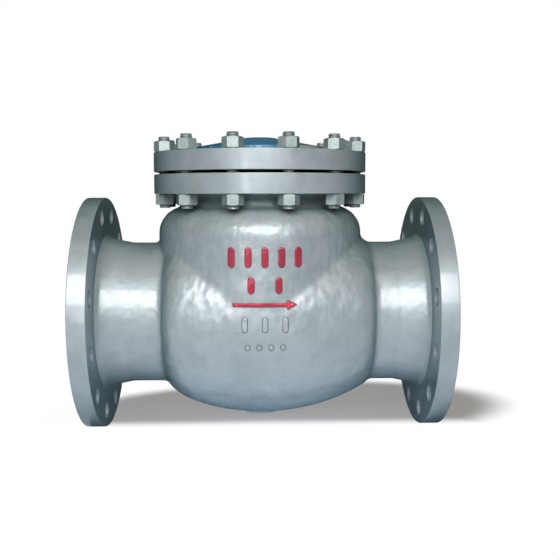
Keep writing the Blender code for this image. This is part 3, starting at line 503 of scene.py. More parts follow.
def brush_coat_group():
    """Tone, roughness, height and gloss of paint brushed over a rough casting."""
    group, given, out = new_group(
        "brush_coat",
        {"Tone": (0.4, 0.45, 0.46), "Thin Tone": (0.3, 0.35, 0.36), "Lumps": 1.0, "Roughness": 0.4},
        ["Color", "Roughness", "Height", "Gloss"],
    )
    vector = given["Vector"]
    cloud = noise_node(group, vector, 9.0, 3.0)
    patch = noise_node(group, vector, 42.0, 3.0, 0.6)
    brushed = mapped(group, vector, turn=(0, 8, 0), scale=(230, 80, 34))
    strokes = noise_node(group, brushed, 1.0, 3.0, 0.65)
    lumps = noise_node(group, vector, 55.0, 2.0, 0.45)
    pits = noise_node(group, vector, 210.0, 2.0, 0.5)
    peel = noise_node(group, vector, 900.0, 1.0)

    thin = remapped(group, weighted(group, (cloud, 0.6), (patch, 0.4)), 0.38, 0.62, 0.60, 0.0)
    group.links.new(mixed(group, thin, given["Tone"], given["Thin Tone"]), out["Color"])

    rough = weighted(group, (patch, 0.25), (strokes, 0.15), (given["Roughness"], 1.0))
    group.links.new(maths(group, "SUBTRACT", rough, 0.20), out["Roughness"])

    cast = maths(group, "MULTIPLY", remapped(group, lumps, 0.3, 0.7), given["Lumps"])
    height = weighted(group, (cast, 1.0), (strokes, 0.42), (pits, 0.16), (peel, 0.025))
    group.links.new(height, out["Height"])

    dull = remapped(group, weighted(group, (strokes, 0.6), (lumps, 0.4)), 0.40, 0.60, 0.62, 0.0)
    gloss = maths(group, "SUBTRACT", 1.0, maths(group, "MULTIPLY", dull, given["Lumps"]))
    group.links.new(maths(group, "MULTIPLY", gloss, 0.9), out["Gloss"])
    return group


def metal_grain_group():
    """Fine scratches and dulled patches of bare steel."""
    group, given, out = new_group(
        "metal_grain",
        {"Bright": (0.6, 0.6, 0.6), "Dull": (0.4, 0.4, 0.4), "Scale": 300.0, "Roughness": 0.3},
        ["Color", "Roughness", "Height"],
    )
    worn = noise_node(group, given["Vector"], 60.0, 4.0, 0.6)
    colour = mixed(group, remapped(group, worn, 0.30, 0.80), given["Bright"], given["Dull"])
    group.links.new(colour, out["Color"])
    rough = weighted(group, (worn, 0.18), (given["Roughness"], 1.0))
    group.links.new(maths(group, "SUBTRACT", rough, 0.09), out["Roughness"])
    group.links.new(noise_node(group, given["Vector"], given["Scale"], 3.0), out["Height"])
    return group


BRUSH_COAT = brush_coat_group()
METAL_GRAIN = metal_grain_group()
print("node groups", [group.name for group in bpy.data.node_groups])

# %% [markdown]
# ## Paints
# Aluminium flakes lie flat in the paint, so it looks bright from in front and darker and greener
# from the side. A Layer Weight node knows how far a surface is turned away, and a tint that grows
# with it gives this change; the tint is partly that flop and partly painted shade on the flanks.
# The gloss is the shader's coat, and where the brush left the film dull the coat is thinner. The
# neck under the bonnet's rim lies in the rim's shadow, and a mask by height paints that shadow in
# as a dark film with little gloss. The same film with other tones makes the inside, the red marks
# and the painted shade on the marks' steep sides.

# %% Paints
PAINT_TONE = (0.472, 0.520, 0.536)
PAINT_THIN = (0.347, 0.400, 0.410)
PAINT_METALLIC = 0.35
PAINT_SPECULAR = 0.2
COAT_ROUGHNESS = 0.12
# Flop of flake paint, and painted shade on the flanks: a tint that grows where a surface is seen side-on.
FLOP_AND_SIDE_SHADE_TINT = (0.33, 0.47, 0.465)
FLOP_AND_SIDE_SHADE_RANGE = (0.15, 0.95)
# Painted shadow of the bonnet's rim on the top neck, and the heights over which it comes in.
RIM_SHADOW_COLOUR = (0.20, 0.25, 0.24)
RIM_SHADOW_HEIGHTS = (0.340, 0.352)
BETWEEN_FLANGES = 0.2


def place_group(tree, group, vector, **values):
    """One use of a node group in a material, with its own values."""
    node = tree.nodes.new("ShaderNodeGroup")
    node.node_tree = group
    tree.links.new(vector, node.inputs["Vector"])
    for label, value in values.items():
        feed(tree, node.inputs[label.replace("_", " ")], value)
    return node.outputs


def bumped(tree, shader, height, distance):
    bump = tree.nodes.new("ShaderNodeBump")
    bump.inputs["Strength"].default_value = 1.0
    bump.inputs["Distance"].default_value = distance
    tree.links.new(height, bump.inputs["Height"])
    tree.links.new(bump.outputs["Normal"], shader.inputs["Normal"])


def flop_and_side_shade(tree, colour):
    """Flake paint looks darker and greener where it is seen from the side; the tint also paints shade on the
    flanks.
    """
    facing = tree.nodes.new("ShaderNodeLayerWeight")
    facing.inputs["Blend"].default_value = 0.5
    turned_away = remapped(tree, facing.outputs["Facing"], *FLOP_AND_SIDE_SHADE_RANGE)
    return mixed(tree, turned_away, colour, FLOP_AND_SIDE_SHADE_TINT, "MULTIPLY")


def paint_film(name, tone, thin, lumps, roughness, bump):
    """A material with the brush coat in it; its colour and gloss are still to be linked."""
    material, tree, shader, place = new_material(name)
    coat = place_group(tree, BRUSH_COAT, place, Tone=tone, Thin_Tone=thin, Lumps=lumps, Roughness=roughness)
    feed(tree, shader.inputs["Roughness"], coat["Roughness"])
    feed(tree, shader.inputs["Metallic"], PAINT_METALLIC)
    feed(tree, shader.inputs["Specular IOR Level"], PAINT_SPECULAR)
    feed(tree, shader.inputs["Coat Roughness"], COAT_ROUGHNESS)
    bumped(tree, shader, coat["Height"], bump)
    return material, tree, shader, place, flop_and_side_shade(tree, coat["Color"]), coat["Gloss"]


def paint(name, tone, thin, lumps, roughness, bump, rim_shadow=None):
    """Aluminium paint; rim_shadow gives the heights on the top neck between which the rim's shadow is painted
    in.
    """
    material, tree, shader, place, colour, gloss = paint_film(name, tone, thin, lumps, roughness, bump)
    # The rim's shadow on the top neck is painted here: a darker colour and less gloss.
    if rim_shadow:
        along = split_up(tree, place)
        between = maths(tree, "LESS_THAN", maths(tree, "ABSOLUTE", along["X"]), BETWEEN_FLANGES)
        in_rim_shadow = maths(tree, "MULTIPLY", remapped(tree, along["Z"], *rim_shadow), between)
        colour = mixed(tree, in_rim_shadow, colour, RIM_SHADOW_COLOUR)
        gloss = maths(tree, "MULTIPLY", gloss, maths(tree, "SUBTRACT", 1.0, in_rim_shadow))
    feed(tree, shader.inputs["Base Color"], colour)
    feed(tree, shader.inputs["Coat Weight"], gloss)
    return material


CAST_PAINT = paint("cast_paint", PAINT_TONE, PAINT_THIN, 1.0, 0.46, 0.00036, RIM_SHADOW_HEIGHTS)
RIM_PAINT = paint("rim_paint", PAINT_TONE, PAINT_THIN, 0.25, 0.44, 0.00022)
# A dark film that paints shade on the steep sides of the raised marks.
MARK_SIDE_SHADE_PAINT = paint("mark_side_shade", (0.20, 0.235, 0.235), (0.12, 0.145, 0.145), 0.4, 0.5, 0.0003)
INNER_PAINT = paint("inner_paint", (0.24, 0.27, 0.28), (0.14, 0.16, 0.165), 1.2, 0.6, 0.0012)
RED_ENAMEL = paint("red_enamel", (0.62, 0.035, 0.075), (0.40, 0.06, 0.09), 0.6, 0.35, 0.0008)
print("paints", CAST_PAINT.name, RIM_PAINT.name, MARK_SIDE_SHADE_PAINT.name, INNER_PAINT.name, RED_ENAMEL.name)

# %% [markdown]
# ## Metals
# Nuts and studs are zinc plated and gone dull, the mechanism is stainless or forged, and the end
# faces were faced on a lathe. A facing cut leaves fine rings round the flow axis. A wave texture
# draws rings round its own X axis, so a Mapping node first brings the flow axis down to it.

# %% Metals
FLOW_Z = 0.180
RING_SHARE = 0.30
RING_DARK = (0.20, 0.205, 0.205)


def metal(name, bright, dull, roughness, scale, bump, metallic, plated=False):
    """Bare or plated steel; plated steel turns darker and greener from the side, partly flop as in flake
    paint and partly painted shade on the sides.
    """
    material, tree, shader, place = new_material(name)
    grain = place_group(tree, METAL_GRAIN, place, Bright=bright, Dull=dull, Scale=scale, Roughness=roughness)
    colour = flop_and_side_shade(tree, grain["Color"]) if plated else grain["Color"]
    feed(tree, shader.inputs["Base Color"], colour)
    feed(tree, shader.inputs["Roughness"], grain["Roughness"])
    feed(tree, shader.inputs["Metallic"], metallic)
    bumped(tree, shader, grain["Height"], bump)
    return material


def faced(name, bright, dull, roughness, ring_scale, groove, metallic):
    """Steel faced on a lathe: fine rings round the flow axis."""
    material, tree, shader, place = new_material(name)
    centred = mapped(tree, place, (0, 0, -FLOW_Z))
    grain = place_group(tree, METAL_GRAIN, centred, Bright=bright, Dull=dull, Scale=60.0, Roughness=roughness)
    rings = tree.nodes.new("ShaderNodeTexWave")
    rings.wave_type = "RINGS"
    rings.rings_direction = "X"
    feed(tree, rings.inputs["Scale"], ring_scale)
    feed(tree, rings.inputs["Distortion"], 0.0)
    feed(tree, rings.inputs["Vector"], centred)
    dark = maths(tree, "MULTIPLY", rings.outputs["Fac"], RING_SHARE)
    feed(tree, shader.inputs["Base Color"], mixed(tree, dark, grain["Color"], RING_DARK))
    feed(tree, shader.inputs["Roughness"], grain["Roughness"])
    feed(tree, shader.inputs["Metallic"], metallic)
    bumped(tree, shader, rings.outputs["Fac"], groove)
    return material


# The plated nuts take the side tint: flop, and painted shade on their turned-away facets.
NUT_FINISH = metal("nut_finish", (0.46, 0.525, 0.515), (0.33, 0.390, 0.380), 0.40, 420.0, 0.00025, 0.35, True)
STUD_FINISH = metal("stud_finish", (0.44, 0.48, 0.48), (0.26, 0.30, 0.30), 0.42, 500.0, 0.0002, 0.5)
STAINLESS = metal("stainless", (0.64, 0.64, 0.62), (0.52, 0.52, 0.51), 0.30, 500.0, 0.00008, 0.6)
FORGED = metal("forged_steel", (0.24, 0.25, 0.26), (0.14, 0.145, 0.15), 0.5, 160.0, 0.0005, 0.5)
FIBRE = metal("gasket_fibre", (0.03, 0.03, 0.035), (0.015, 0.015, 0.018), 0.85, 900.0, 0.0003, 0.0)
FACED_STEEL = faced("faced_steel", (0.60, 0.60, 0.585), (0.53, 0.53, 0.515), 0.42, 190.0, 0.00025, 0.45)
TURNED_STAINLESS = faced("turned_stainless", (0.66, 0.66, 0.645), (0.60, 0.60, 0.585), 0.34, 260.0,
                         0.00006, 0.6)
print("metals", [material.name for material in (NUT_FINISH, STUD_FINISH, STAINLESS, FORGED, FIBRE)])

# %% [markdown]
# ## The cast body
# The body was cast in sand: a belly along the pipe, an upright barrel through it, and soft fillets
# where the two meet. Bevelling the seam of a Boolean would break on its slivers. So the outer
# shapes are laid over each other, remeshed with small voxels into one even skin, and the skin is
# smoothed most where both shapes are near, which makes the fillet as the moulder's trowel does.
#
# The belly is a squashed ellipse of revolution, blunt towards the inlet and tapered towards the
# outlet. In front and behind it is a little fuller than below, most where it nears the necks.

# %% Sizes of the body
BARREL_X = -0.004
FLOW_CENTRE = (0, 0, FLOW_Z)
BARREL_CENTRE = (BARREL_X, 0, FLOW_Z)
FACE_TO_FACE = 0.550
BORE_RADIUS = 0.100
FLANGE_RADIUS = 0.180
FLANGE_THICKNESS = 0.027
RAISED_FACE_RADIUS = 0.139
RAISED_FACE_HEIGHT = 0.003
BOLT_COUNT = 12
BOLT_CIRCLE_RADIUS = 0.155
BOLT_HOLE_RADIUS = 0.013
NECK_RADIUS = 0.1095
HUB_RADIUS = 0.116
HUB_TAPER = 0.032
HUB_FILLET = 0.009
WALL = 0.012
BELLY_RADIUS = 0.1592
BELLY_INLET = (0.169, 0.24)
BELLY_OUTLET = (0.229, 0.5)
FRONT_SWELL = (0.030, 0.020)
BARREL_RADIUS = 0.158
SHOULDER_START = 0.125
SHOULDER_RISE = 0.0425
SHOULDER_TUCK = 0.0105
TOP_NECK_RADIUS = 0.1245
TOP_NECK_FILLET = 0.004
JOINT_RADIUS = 0.1646
RIM_BOTTOM = 0.1857
RIM_THICKNESS = 0.0294
RIM_TOP = RIM_BOTTOM + RIM_THICKNESS
DRAIN_PAD_RADIUS = 0.030
DRAIN_PAD_PROUD = 0.0022
STUD_COUNT = 12
STUD_CIRCLE_RADIUS = 0.150
STUD_HOLE_RADIUS = 0.0102
STUD_PLACES = circle_places(STUD_COUNT, STUD_CIRCLE_RADIUS, "Z", BARREL_CENTRE)
FLANGE_BACK = FACE_TO_FACE / 2 - RAISED_FACE_HEIGHT - FLANGE_THICKNESS
SMALL_ROUND = 0.0012


def belly_radius(x, inset=0):
    """Radius of the belly, or of the hollow in it: blunt towards the inlet, tapered towards the outlet."""
    length, fullness = BELLY_INLET if x < 0 else BELLY_OUTLET
    share = x / (length - inset)
    return (BELLY_RADIUS - inset) * max(0, 1 - share * share) ** fullness


def belly_end(side, at_radius, inset=0):
    """Where the belly has narrowed to a radius; side is -1 or 1."""
    length, fullness = BELLY_INLET if side < 0 else BELLY_OUTLET
    return side * (length - inset) * math.sqrt(1 - (at_radius / (BELLY_RADIUS - inset)) ** (1 / fullness))


def belly_points(start, end, steps, inset=0):
    """(x, radius) points along the belly, closer together near its ends."""
    middle, half = (start + end) / 2, (end - start) / 2
    places = [middle - half * math.cos(math.pi * index / steps) for index in range(steps + 1)]
    return [(x, belly_radius(x, inset)) for x in places]


def front_scale(x):
    """How much fuller the belly is towards the front and back than towards the floor."""
    side = 1 if x > 0 else -1
    share = min(1.0, abs(x / belly_end(side, NECK_RADIUS)))
    swell = FRONT_SWELL[side > 0] * share ** 4 * (1 - share ** 16)
    return 1 + swell / max(belly_radius(x), NECK_RADIUS)


def flow_radius(x):
    """Outer radius of the belly, the necks and their hubs."""
    taper = (abs(x) - (FLANGE_BACK - HUB_FILLET - HUB_TAPER)) / HUB_TAPER
    neck = NECK_RADIUS + (HUB_RADIUS - NECK_RADIUS) * min(1.0, max(0.0, taper))
    return max(belly_radius(x), neck)


def barrel_outline(inset, steps):
    """(height, radius) points of the barrel from the flow axis, over the shoulder, to the neck."""
    centre = TOP_NECK_RADIUS - SHOULDER_TUCK
    reach = BARREL_RADIUS - inset - centre
    last = math.degrees(math.acos(max(SHOULDER_TUCK - inset, 0) / reach))
    shoulder = arc((SHOULDER_START, centre), SHOULDER_RISE - inset, reach, 90, 90 - last, steps)
    return [(0, BARREL_RADIUS - inset), *shoulder]


print("belly from", round(belly_end(-1, NECK_RADIUS), 4), "to", round(belly_end(1, NECK_RADIUS), 4))

# %% [markdown]
# ## The outer skin
# A remesh forgets sharp edges, which suits a casting. Its vertices lie evenly, so smoothing passes
# act alike everywhere, and more passes are made the nearer a vertex lies to a seam. A foundry's
# sand leaves slow hollows and finer lumps: two noises of different size move each vertex along its
# normal, most along the upper seam, where the moulder's hand worked, and hardly at all on the necks.

# %% The outer skin of the casting
VOXEL = 0.0030
RIM_OVERLAP = 0.010
SEAM_REACH = 0.009
SEAM_PASSES = 5
LUMP_REACH = 0.065
LUMP_LEAST = 0.00022
LUMP_MOST = 0.00064
SLOW_LUMPS = 45
QUICK_LUMPS = (150, 120, 80)
BARREL_SIDE = [(-1.0, BARREL_RADIUS), *barrel_outline(0, 14), (RIM_BOTTOM, TOP_NECK_RADIUS)]


def belly_outline():
    """The belly with its necks and hubs, and a fillet at the back of each flange."""
    inner = FLANGE_BACK + 0.4 * FLANGE_THICKNESS
    fillet = arc((FLANGE_BACK - HUB_FILLET, HUB_RADIUS + HUB_FILLET), HUB_FILLET, HUB_FILLET, -18, -90, 5)
    end = [(inner, 0), (inner, fillet[0][1] + 0.006), *fillet]
    belly = belly_points(belly_end(-1, NECK_RADIUS), belly_end(1, NECK_RADIUS), 48)
    taper_start = (FLANGE_BACK - HUB_FILLET - HUB_TAPER, NECK_RADIUS)
    left = [(-x, r) for x, r in end] + [(-taper_start[0], taper_start[1])]
    return left + belly + [taper_start] + end[::-1]


def cast_skin():
    """The belly, the barrel and the drain pad as one even, softly blended skin."""
    shape = turned(belly_outline(), "X", FLOW_CENTRE, 128)
    for vert in shape.verts:
        vert.co.y *= front_scale(vert.co.x)
    in_rim = RIM_BOTTOM + RIM_OVERLAP
    barrel = [(0, 0), *barrel_outline(0, 14), (RIM_BOTTOM - TOP_NECK_FILLET, TOP_NECK_RADIUS),
              (RIM_BOTTOM, TOP_NECK_RADIUS + TOP_NECK_FILLET * 0.8),
              (in_rim, TOP_NECK_RADIUS + TOP_NECK_FILLET), (in_rim, 0)]
    pad = ring(-BELLY_RADIUS - DRAIN_PAD_PROUD, WALL - BELLY_RADIUS, 0, DRAIN_PAD_RADIUS)
    for outline in (barrel, pad):
        extra = plain_object(turned(outline, "Z", BARREL_CENTRE, 128), "extra")
        shape.from_mesh(extra.data)
        bpy.data.objects.remove(extra)
    skin = plain_object(shape, "valve_casting")
    remesh = skin.modifiers.new("even_skin", "REMESH")
    remesh.mode = "VOXEL"
    remesh.voxel_size = VOXEL
    return settle(skin)


def barrel_radius(height):
    """Outer radius of the barrel at a height above the flow axis."""
    heights, radii = zip(*BARREL_SIDE)
    return float(np.interp(height, heights, radii))


def seam_distance(place):
    """Distance from the seams between the casting's shapes."""
    height = place.z - FLOW_Z
    from_flow = math.hypot(place.y / front_scale(place.x), height)
    to_neck = min(abs(place.x - belly_end(side, NECK_RADIUS)) for side in (-1, 1))
    distance = math.hypot(to_neck, from_flow - NECK_RADIUS)
    if height > -0.01:
        from_barrel = math.hypot(place.x - BARREL_X, place.y) - barrel_radius(height)
        distance = min(distance, max(abs(from_flow - flow_radius(place.x)), abs(from_barrel)))
    return distance


def lumpiness(place):
    """How far the casting is rough: most along the upper seam, hardly at all on the necks."""
    on_neck = min(1.0, max(0.0, (abs(place.x) - 0.150) / 0.015))
    seam = max(0.0, 1 - seam_distance(place) / LUMP_REACH)
    shoulder = min(1.0, max(0.0, (place.z - FLOW_Z - 0.110) / 0.020))
    return (LUMP_LEAST + LUMP_MOST * max(seam, 0.6 * shoulder)) * (1 - 0.85 * on_neck)


def smooth_verts(shape, verts):
    bmesh.ops.smooth_vert(shape, verts=verts, factor=0.5, use_axis_x=True, use_axis_y=True, use_axis_z=True)


def blend_skin(skin):
    """Smooths the skin a little everywhere and more along its seams, then makes it a rough casting."""
    shape = bmesh.new()
    shape.from_mesh(skin.data)
    smooth_verts(shape, shape.verts)
    near = {vert: 1 - seam_distance(vert.co) / SEAM_REACH for vert in shape.verts}
    for step in range(SEAM_PASSES):
        smooth_verts(shape, [vert for vert, value in near.items() if value > step / (2 * SEAM_PASSES)])
    shape.normal_update()
    for vert in shape.verts:
        slow = noise.noise(vert.co * SLOW_LUMPS)
        x, y, z = vert.co
        quick = noise.noise(Vector((x * QUICK_LUMPS[0], y * QUICK_LUMPS[1], z * QUICK_LUMPS[2] + 3)))
        vert.co += vert.normal * (slow + 0.65 * quick) * lumpiness(vert.co)
    shape.to_mesh(skin.data)
    shape.free()
    return skin


skin = blend_skin(cast_skin())
print("skin faces", len(skin.data.polygons))

# %% [markdown]
# ## Flanges, rim and cores
# The flanges and the bonnet rim were machined, so they are turned separately and joined to the skin
# while they stay crisp. The hollow is cut as a foundry makes it, by cores: one along the flow with
# the seat's pocket in it, and one upright. The upright core is cut back first, so that the boss
# round the seat and a ledge for the hinge stay standing.

# %% Flanges, rim and cores of the casting
SEAT_FACE_X = -0.092
SEAT_RING_RADIUS = 0.111
SEAT_RING_DEPTH = 0.012
SEAT_BOSS_RADIUS = 0.118
SEAT_GAP = 0.0003
CORE_STEP = 0.0006
PAST = 0.01
BOSS_FACE_X = SEAT_FACE_X - 0.003
SEAT_BACK_X = BOSS_FACE_X - SEAT_RING_DEPTH
BULKHEAD_X = BOSS_FACE_X - 0.010
BULKHEAD_RADIUS = (belly_radius(BULKHEAD_X) + belly_radius(BULKHEAD_X, WALL)) / 2
HINGE_X = -0.0785
HINGE_HEIGHT = 0.128
LEDGE_HALF_WIDTH = 0.066
LEDGE_HEIGHT = 0.152


def flange_outline(sign):
    """A flange with its raised face; sign is -1 at the inlet and 1 at the outlet."""
    face = FACE_TO_FACE / 2
    rim = face - RAISED_FACE_HEIGHT
    points = [(face, 0), (face, RAISED_FACE_RADIUS), (rim, RAISED_FACE_RADIUS), (rim, FLANGE_RADIUS),
              (FLANGE_BACK, FLANGE_RADIUS), (FLANGE_BACK, 0)]
    return [(sign * x, r) for x, r in points]


def flow_core():
    """Both bores, the seat pocket and the swelling between them."""
    past = FACE_TO_FACE / 2 + PAST
    swelling = belly_points(BULKHEAD_X - CORE_STEP, belly_end(1, BORE_RADIUS, WALL), 24, WALL)
    outline = [
        (-past, 0), (-past, BORE_RADIUS), (SEAT_BACK_X - SEAT_GAP, BORE_RADIUS),
        (SEAT_BACK_X - SEAT_GAP, SEAT_RING_RADIUS + SEAT_GAP), (BOSS_FACE_X, SEAT_RING_RADIUS + SEAT_GAP),
        (BOSS_FACE_X, SEAT_BOSS_RADIUS), (BULKHEAD_X - CORE_STEP, SEAT_BOSS_RADIUS), *swelling,
        (past, BORE_RADIUS), (past, 0),
    ]
    return turned(outline, "X", FLOW_CENTRE, 112)


def barrel_core():
    """The upright hollow, which leaves the seat boss and the hinge ledge standing."""
    top = RIM_TOP + PAST
    outline = [(0, 0), *barrel_outline(WALL, 10), (top, TOP_NECK_RADIUS - WALL), (top, 0)]
    core = plain_object(turned(outline, "Z", BARREL_CENTRE, 112), "barrel_core")
    far = BARREL_X - BARREL_RADIUS - PAST
    boss_radius = SEAT_BOSS_RADIUS + CORE_STEP
    standing = [(far, 0), (far, BULKHEAD_RADIUS), (BULKHEAD_X, BULKHEAD_RADIUS), (BULKHEAD_X, boss_radius),
                (BOSS_FACE_X + CORE_STEP, boss_radius), (BOSS_FACE_X + CORE_STEP, 0)]
    combine(core, turned(standing, "X", FLOW_CENTRE, 112), "DIFFERENCE")
    ledge = block((far, -LEDGE_HALF_WIDTH, FLOW_Z + SEAT_BOSS_RADIUS - WALL),
                  (BULKHEAD_X, LEDGE_HALF_WIDTH, FLOW_Z + LEDGE_HEIGHT))
    combine(core, ledge, "DIFFERENCE")
    return taken(core)


def finish_casting(casting):
    """Joins the machined parts to the skin, hollows it and drills it."""
    for sign in (-1, 1):
        flange = soften(turned(flange_outline(sign), "X", FLOW_CENTRE, 160), SMALL_ROUND)
        combine(casting, flange, "UNION")
    rim = turned(ring(RIM_BOTTOM, RIM_TOP, 0, JOINT_RADIUS), "Z", BARREL_CENTRE, 160)
    combine(casting, soften(rim, SMALL_ROUND), "UNION")
    combine(casting, flow_core(), "DIFFERENCE")
    combine(casting, barrel_core(), "DIFFERENCE")
    bolts = circle_places(BOLT_COUNT, BOLT_CIRCLE_RADIUS, "X", FLOW_CENTRE)
    inner, outer = FLANGE_BACK - PAST, FACE_TO_FACE / 2 + PAST
    for start, end in ((inner, outer), (-outer, -inner)):
        combine(casting, rods("X", bolts, start, end, BOLT_HOLE_RADIUS, 36), "DIFFERENCE")
    holes = rods("Z", STUD_PLACES, RIM_BOTTOM - PAST, RIM_TOP + PAST, STUD_HOLE_RADIUS, 24)
    combine(casting, holes, "DIFFERENCE")
    return casting


# %% [markdown]
# ## Finishes of the casting
# One mesh can hold several materials, and each face names its own by a slot number. Where a face
# lies decides it: raised faces are bare steel, machined edges carry a thinner film of paint, and
# all that lies inside the outer shape by half a wall or more has rough paint.

# %% Finishes of the casting
OUTSIDE, INSIDE, RAISED, MACHINED = range(4)
NEAR = 0.0005
HALF_WALL = WALL / 2
BELLY_HALF_LENGTH = 0.19
CHAMBER_TOP = 0.1
BARREL_FOOT = -0.02
BARREL_HALF_WIDTH = 0.16
CHAMBER_REACH = BELLY_RADIUS - WALL + 0.074
NECK_START = SHOULDER_START + 0.05


def finish_at(x, y, z):
    """The slot of a face whose middle lies at a place."""
    height = z - FLOW_Z
    from_flow = math.hypot(y, height)
    from_barrel = math.hypot(x - BARREL_X, y)
    if from_flow < BORE_RADIUS + NEAR:
        return INSIDE
    if abs(x) < BELLY_HALF_LENGTH and from_flow < flow_radius(x) - HALF_WALL and height < CHAMBER_TOP:
        return INSIDE
    in_height = BARREL_FOOT < height < RIM_TOP - 2 * NEAR
    in_width = abs(x) < BARREL_HALF_WIDTH and from_flow < CHAMBER_REACH
    if in_height and in_width and from_barrel < barrel_radius(height) - HALF_WALL:
        on_rim = from_barrel >= TOP_NECK_RADIUS - HALF_WALL and height >= NECK_START
        return MACHINED if on_rim else INSIDE
    if abs(x) > FACE_TO_FACE / 2 - NEAR and from_flow < RAISED_FACE_RADIUS:
        return RAISED
    if abs(x) > FLANGE_BACK - NEAR or height > RIM_BOTTOM - NEAR:
        return MACHINED
    return OUTSIDE


def colour_casting(casting):
    mesh = casting.data
    mesh.materials.clear()
    for material in (CAST_PAINT, INNER_PAINT, FACED_STEEL, RIM_PAINT):
        mesh.materials.append(material)
    for face in mesh.polygons:
        face.material_index = finish_at(*face.center)
    return casting


casting = colour_casting(finish_casting(skin))
present(casting, None, "housing", ["valve_body"], 32)

# %% [markdown]
# ## Raised marks
# Foundries cast raised marks on the side of a body and pick some of them out in enamel. These are
# plain bars, dots and an arrow that shows the way of the flow. Each is a flat shape with rounded
# edges that is sliced into small squares and then laid on the casting by ray casts, so it follows
# every lump under it. Enamel is put on the tops of the marks only, and their steep sides get a
# dark film that is painted shade and draws their outlines.

# %% Raised marks
MARK_RISE = 0.0030
MARK_SINK = 0.0012
MARK_EDGE = 0.0016
MARK_SLICE = 0.003
MARK_X = 0.001
MARK_FRONT_Y = -0.5
STEEP = -0.80
CASTING_TREE = BVHTree.FromPolygons([vert.co for vert in casting.data.vertices],
                                    [face.vertices for face in casting.data.polygons])


def bar_outline(x, z, width, height):
    """An upright bar with round ends."""
    radius = width / 2
    reach = height / 2 - radius
    return [(x + a, z + b) for a, b in arc((0, reach), radius, radius, 0, 180, 8)
            + arc((0, -reach), radius, radius, 180, 360, 8)]


def arrow_outline(x, z, length, thickness, head):
    """An arrow towards the outlet; its head is as wide as it is long."""
    start, neck, low = x - length / 2, x + length / 2 - head, thickness / 2
    return [(start, z - low), (neck, z - low), (neck, z - head / 2), (neck + head, z),
            (neck, z + head / 2), (neck, z + low), (start, z + low)]


def laid_on_casting(shape):
    """Slices a flat mark into squares and lets it follow the surface under it."""
    for axis in (0, 2):
        low = min(vert.co[axis] for vert in shape.verts)
        high = max(vert.co[axis] for vert in shape.verts)
        normal = Vector((0, 0, 0))
        normal[axis] = 1
        for index in range(1, math.ceil((high - low) / MARK_SLICE)):
            place = normal * (low + index * MARK_SLICE)
            bmesh.ops.bisect_plane(shape, geom=shape.verts[:] + shape.edges[:] + shape.faces[:], dist=1e-7,
                                   plane_co=place, plane_no=normal)
    for vert in shape.verts:
        start = Vector((vert.co.x, MARK_FRONT_Y, vert.co.z))
        vert.co.y += CASTING_TREE.ray_cast(start, Vector((0, 1, 0)))[0].y


def mark(outline):
    return soften(extruded(outline, -MARK_RISE, MARK_SINK), MARK_EDGE, 3, 60)


def row(z, height, width, count, bar_width):
    """Upright bars side by side, all together of a given width."""
    pitch = (width - bar_width) / (count - 1)
    first = MARK_X - (count - 1) * pitch / 2
    return [mark(bar_outline(first + index * pitch, z, bar_width, height)) for index in range(count)]


def raised_marks(shapes, name, material):
    """Marks of one colour as one object, with painted shade on their steep sides."""
    joined = bmesh.new()
    for shape in shapes:
        laid_on_casting(shape)
        part = bpy.data.meshes.new(name)
        shape.to_mesh(part)
        shape.free()
        joined.from_mesh(part)
        bpy.data.meshes.remove(part)
    bmesh.ops.recalc_face_normals(joined, faces=joined.faces)
    # Steep sides get the painted shade, the tops their own paint.
    for face in joined.faces:
        face.material_index = 1 if face.normal.y > STEEP else 0
    marks = plain_object(joined, name)
    for used in (material, MARK_SIDE_SHADE_PAINT):
        marks.data.materials.append(used)
    present(marks, None, "housing", (), 50)


red = row(0.2776, 0.0290, 0.104, 5, 0.0100) + row(0.2384, 0.0240, 0.049, 2, 0.0100)
red.append(mark(arrow_outline(MARK_X, 0.2110, 0.092, 0.0058, 0.0150)))
raised_marks(red, "red_marks", RED_ENAMEL)
raised_marks(row(0.1830, 0.0220, 0.066, 3, 0.0085) + row(0.1500, 0.0085, 0.058, 4, 0.0080),
             "plain_marks", CAST_PAINT)

# %% [markdown]
# ## Bonnet and gasket
# The bonnet is a turned cover: a thick bolted rim, a low cone and a small flat crown. Blue paint was
# brushed by hand over most of the cone, and the right end shows the silver film. The blue is made
# darker towards the left of the cone. So its material mixes two films by a mask that reads the
# object's own coordinates, with a noise that makes the edge uneven. The blue has no flakes and no
# gloss, so the mask turns the metal and the coat down as well.

# %% Bonnet and gasket
JOINT_GAP = 0.004
BONNET_RIM = 0.0296
BONNET_BASE = RIM_TOP + JOINT_GAP
BONNET_TOP = BONNET_BASE + BONNET_RIM
BONNET_WALL = 0.014
STEP_RADIUS = 0.104
STEP_HEIGHT = 0.008
CROWN_RADIUS = 0.026
CROWN_HEIGHT = 0.0232
SPIGOT_DEPTH = 0.007
SPIGOT_RADIUS = TOP_NECK_RADIUS - WALL - 0.0006
EDGE_BREAK = 0.0015
BLUE_LIGHT = (0.045, 0.200, 0.330)
BLUE_DARK = (0.014, 0.070, 0.150)
BLUE_END = (0.020, 0.026)
BLUE_FADE = (-0.090, -0.020)
BLUE_COVERS = 0.8


def bonnet_shape():
    step, crown = BONNET_TOP + STEP_HEIGHT, BONNET_TOP + CROWN_HEIGHT
    roof, ceiling, corner = crown - BONNET_WALL, step - BONNET_WALL, BONNET_WALL / 2
    foot, inside = BONNET_BASE - SPIGOT_DEPTH, SPIGOT_RADIUS - BONNET_WALL
    outline = [
        (roof, 0), (roof, CROWN_RADIUS), (ceiling, inside - corner), (ceiling - corner, inside),
        (foot, inside), (foot, SPIGOT_RADIUS), (BONNET_BASE, SPIGOT_RADIUS), (BONNET_BASE, JOINT_RADIUS),
        (BONNET_TOP, JOINT_RADIUS), (BONNET_TOP, STEP_RADIUS), (step, STEP_RADIUS - EDGE_BREAK),
        (crown - 0.0008, CROWN_RADIUS), (crown, CROWN_RADIUS - EDGE_BREAK), (crown, 0),
    ]
    return soften(turned(outline, "Z", BARREL_CENTRE, 160), SMALL_ROUND)


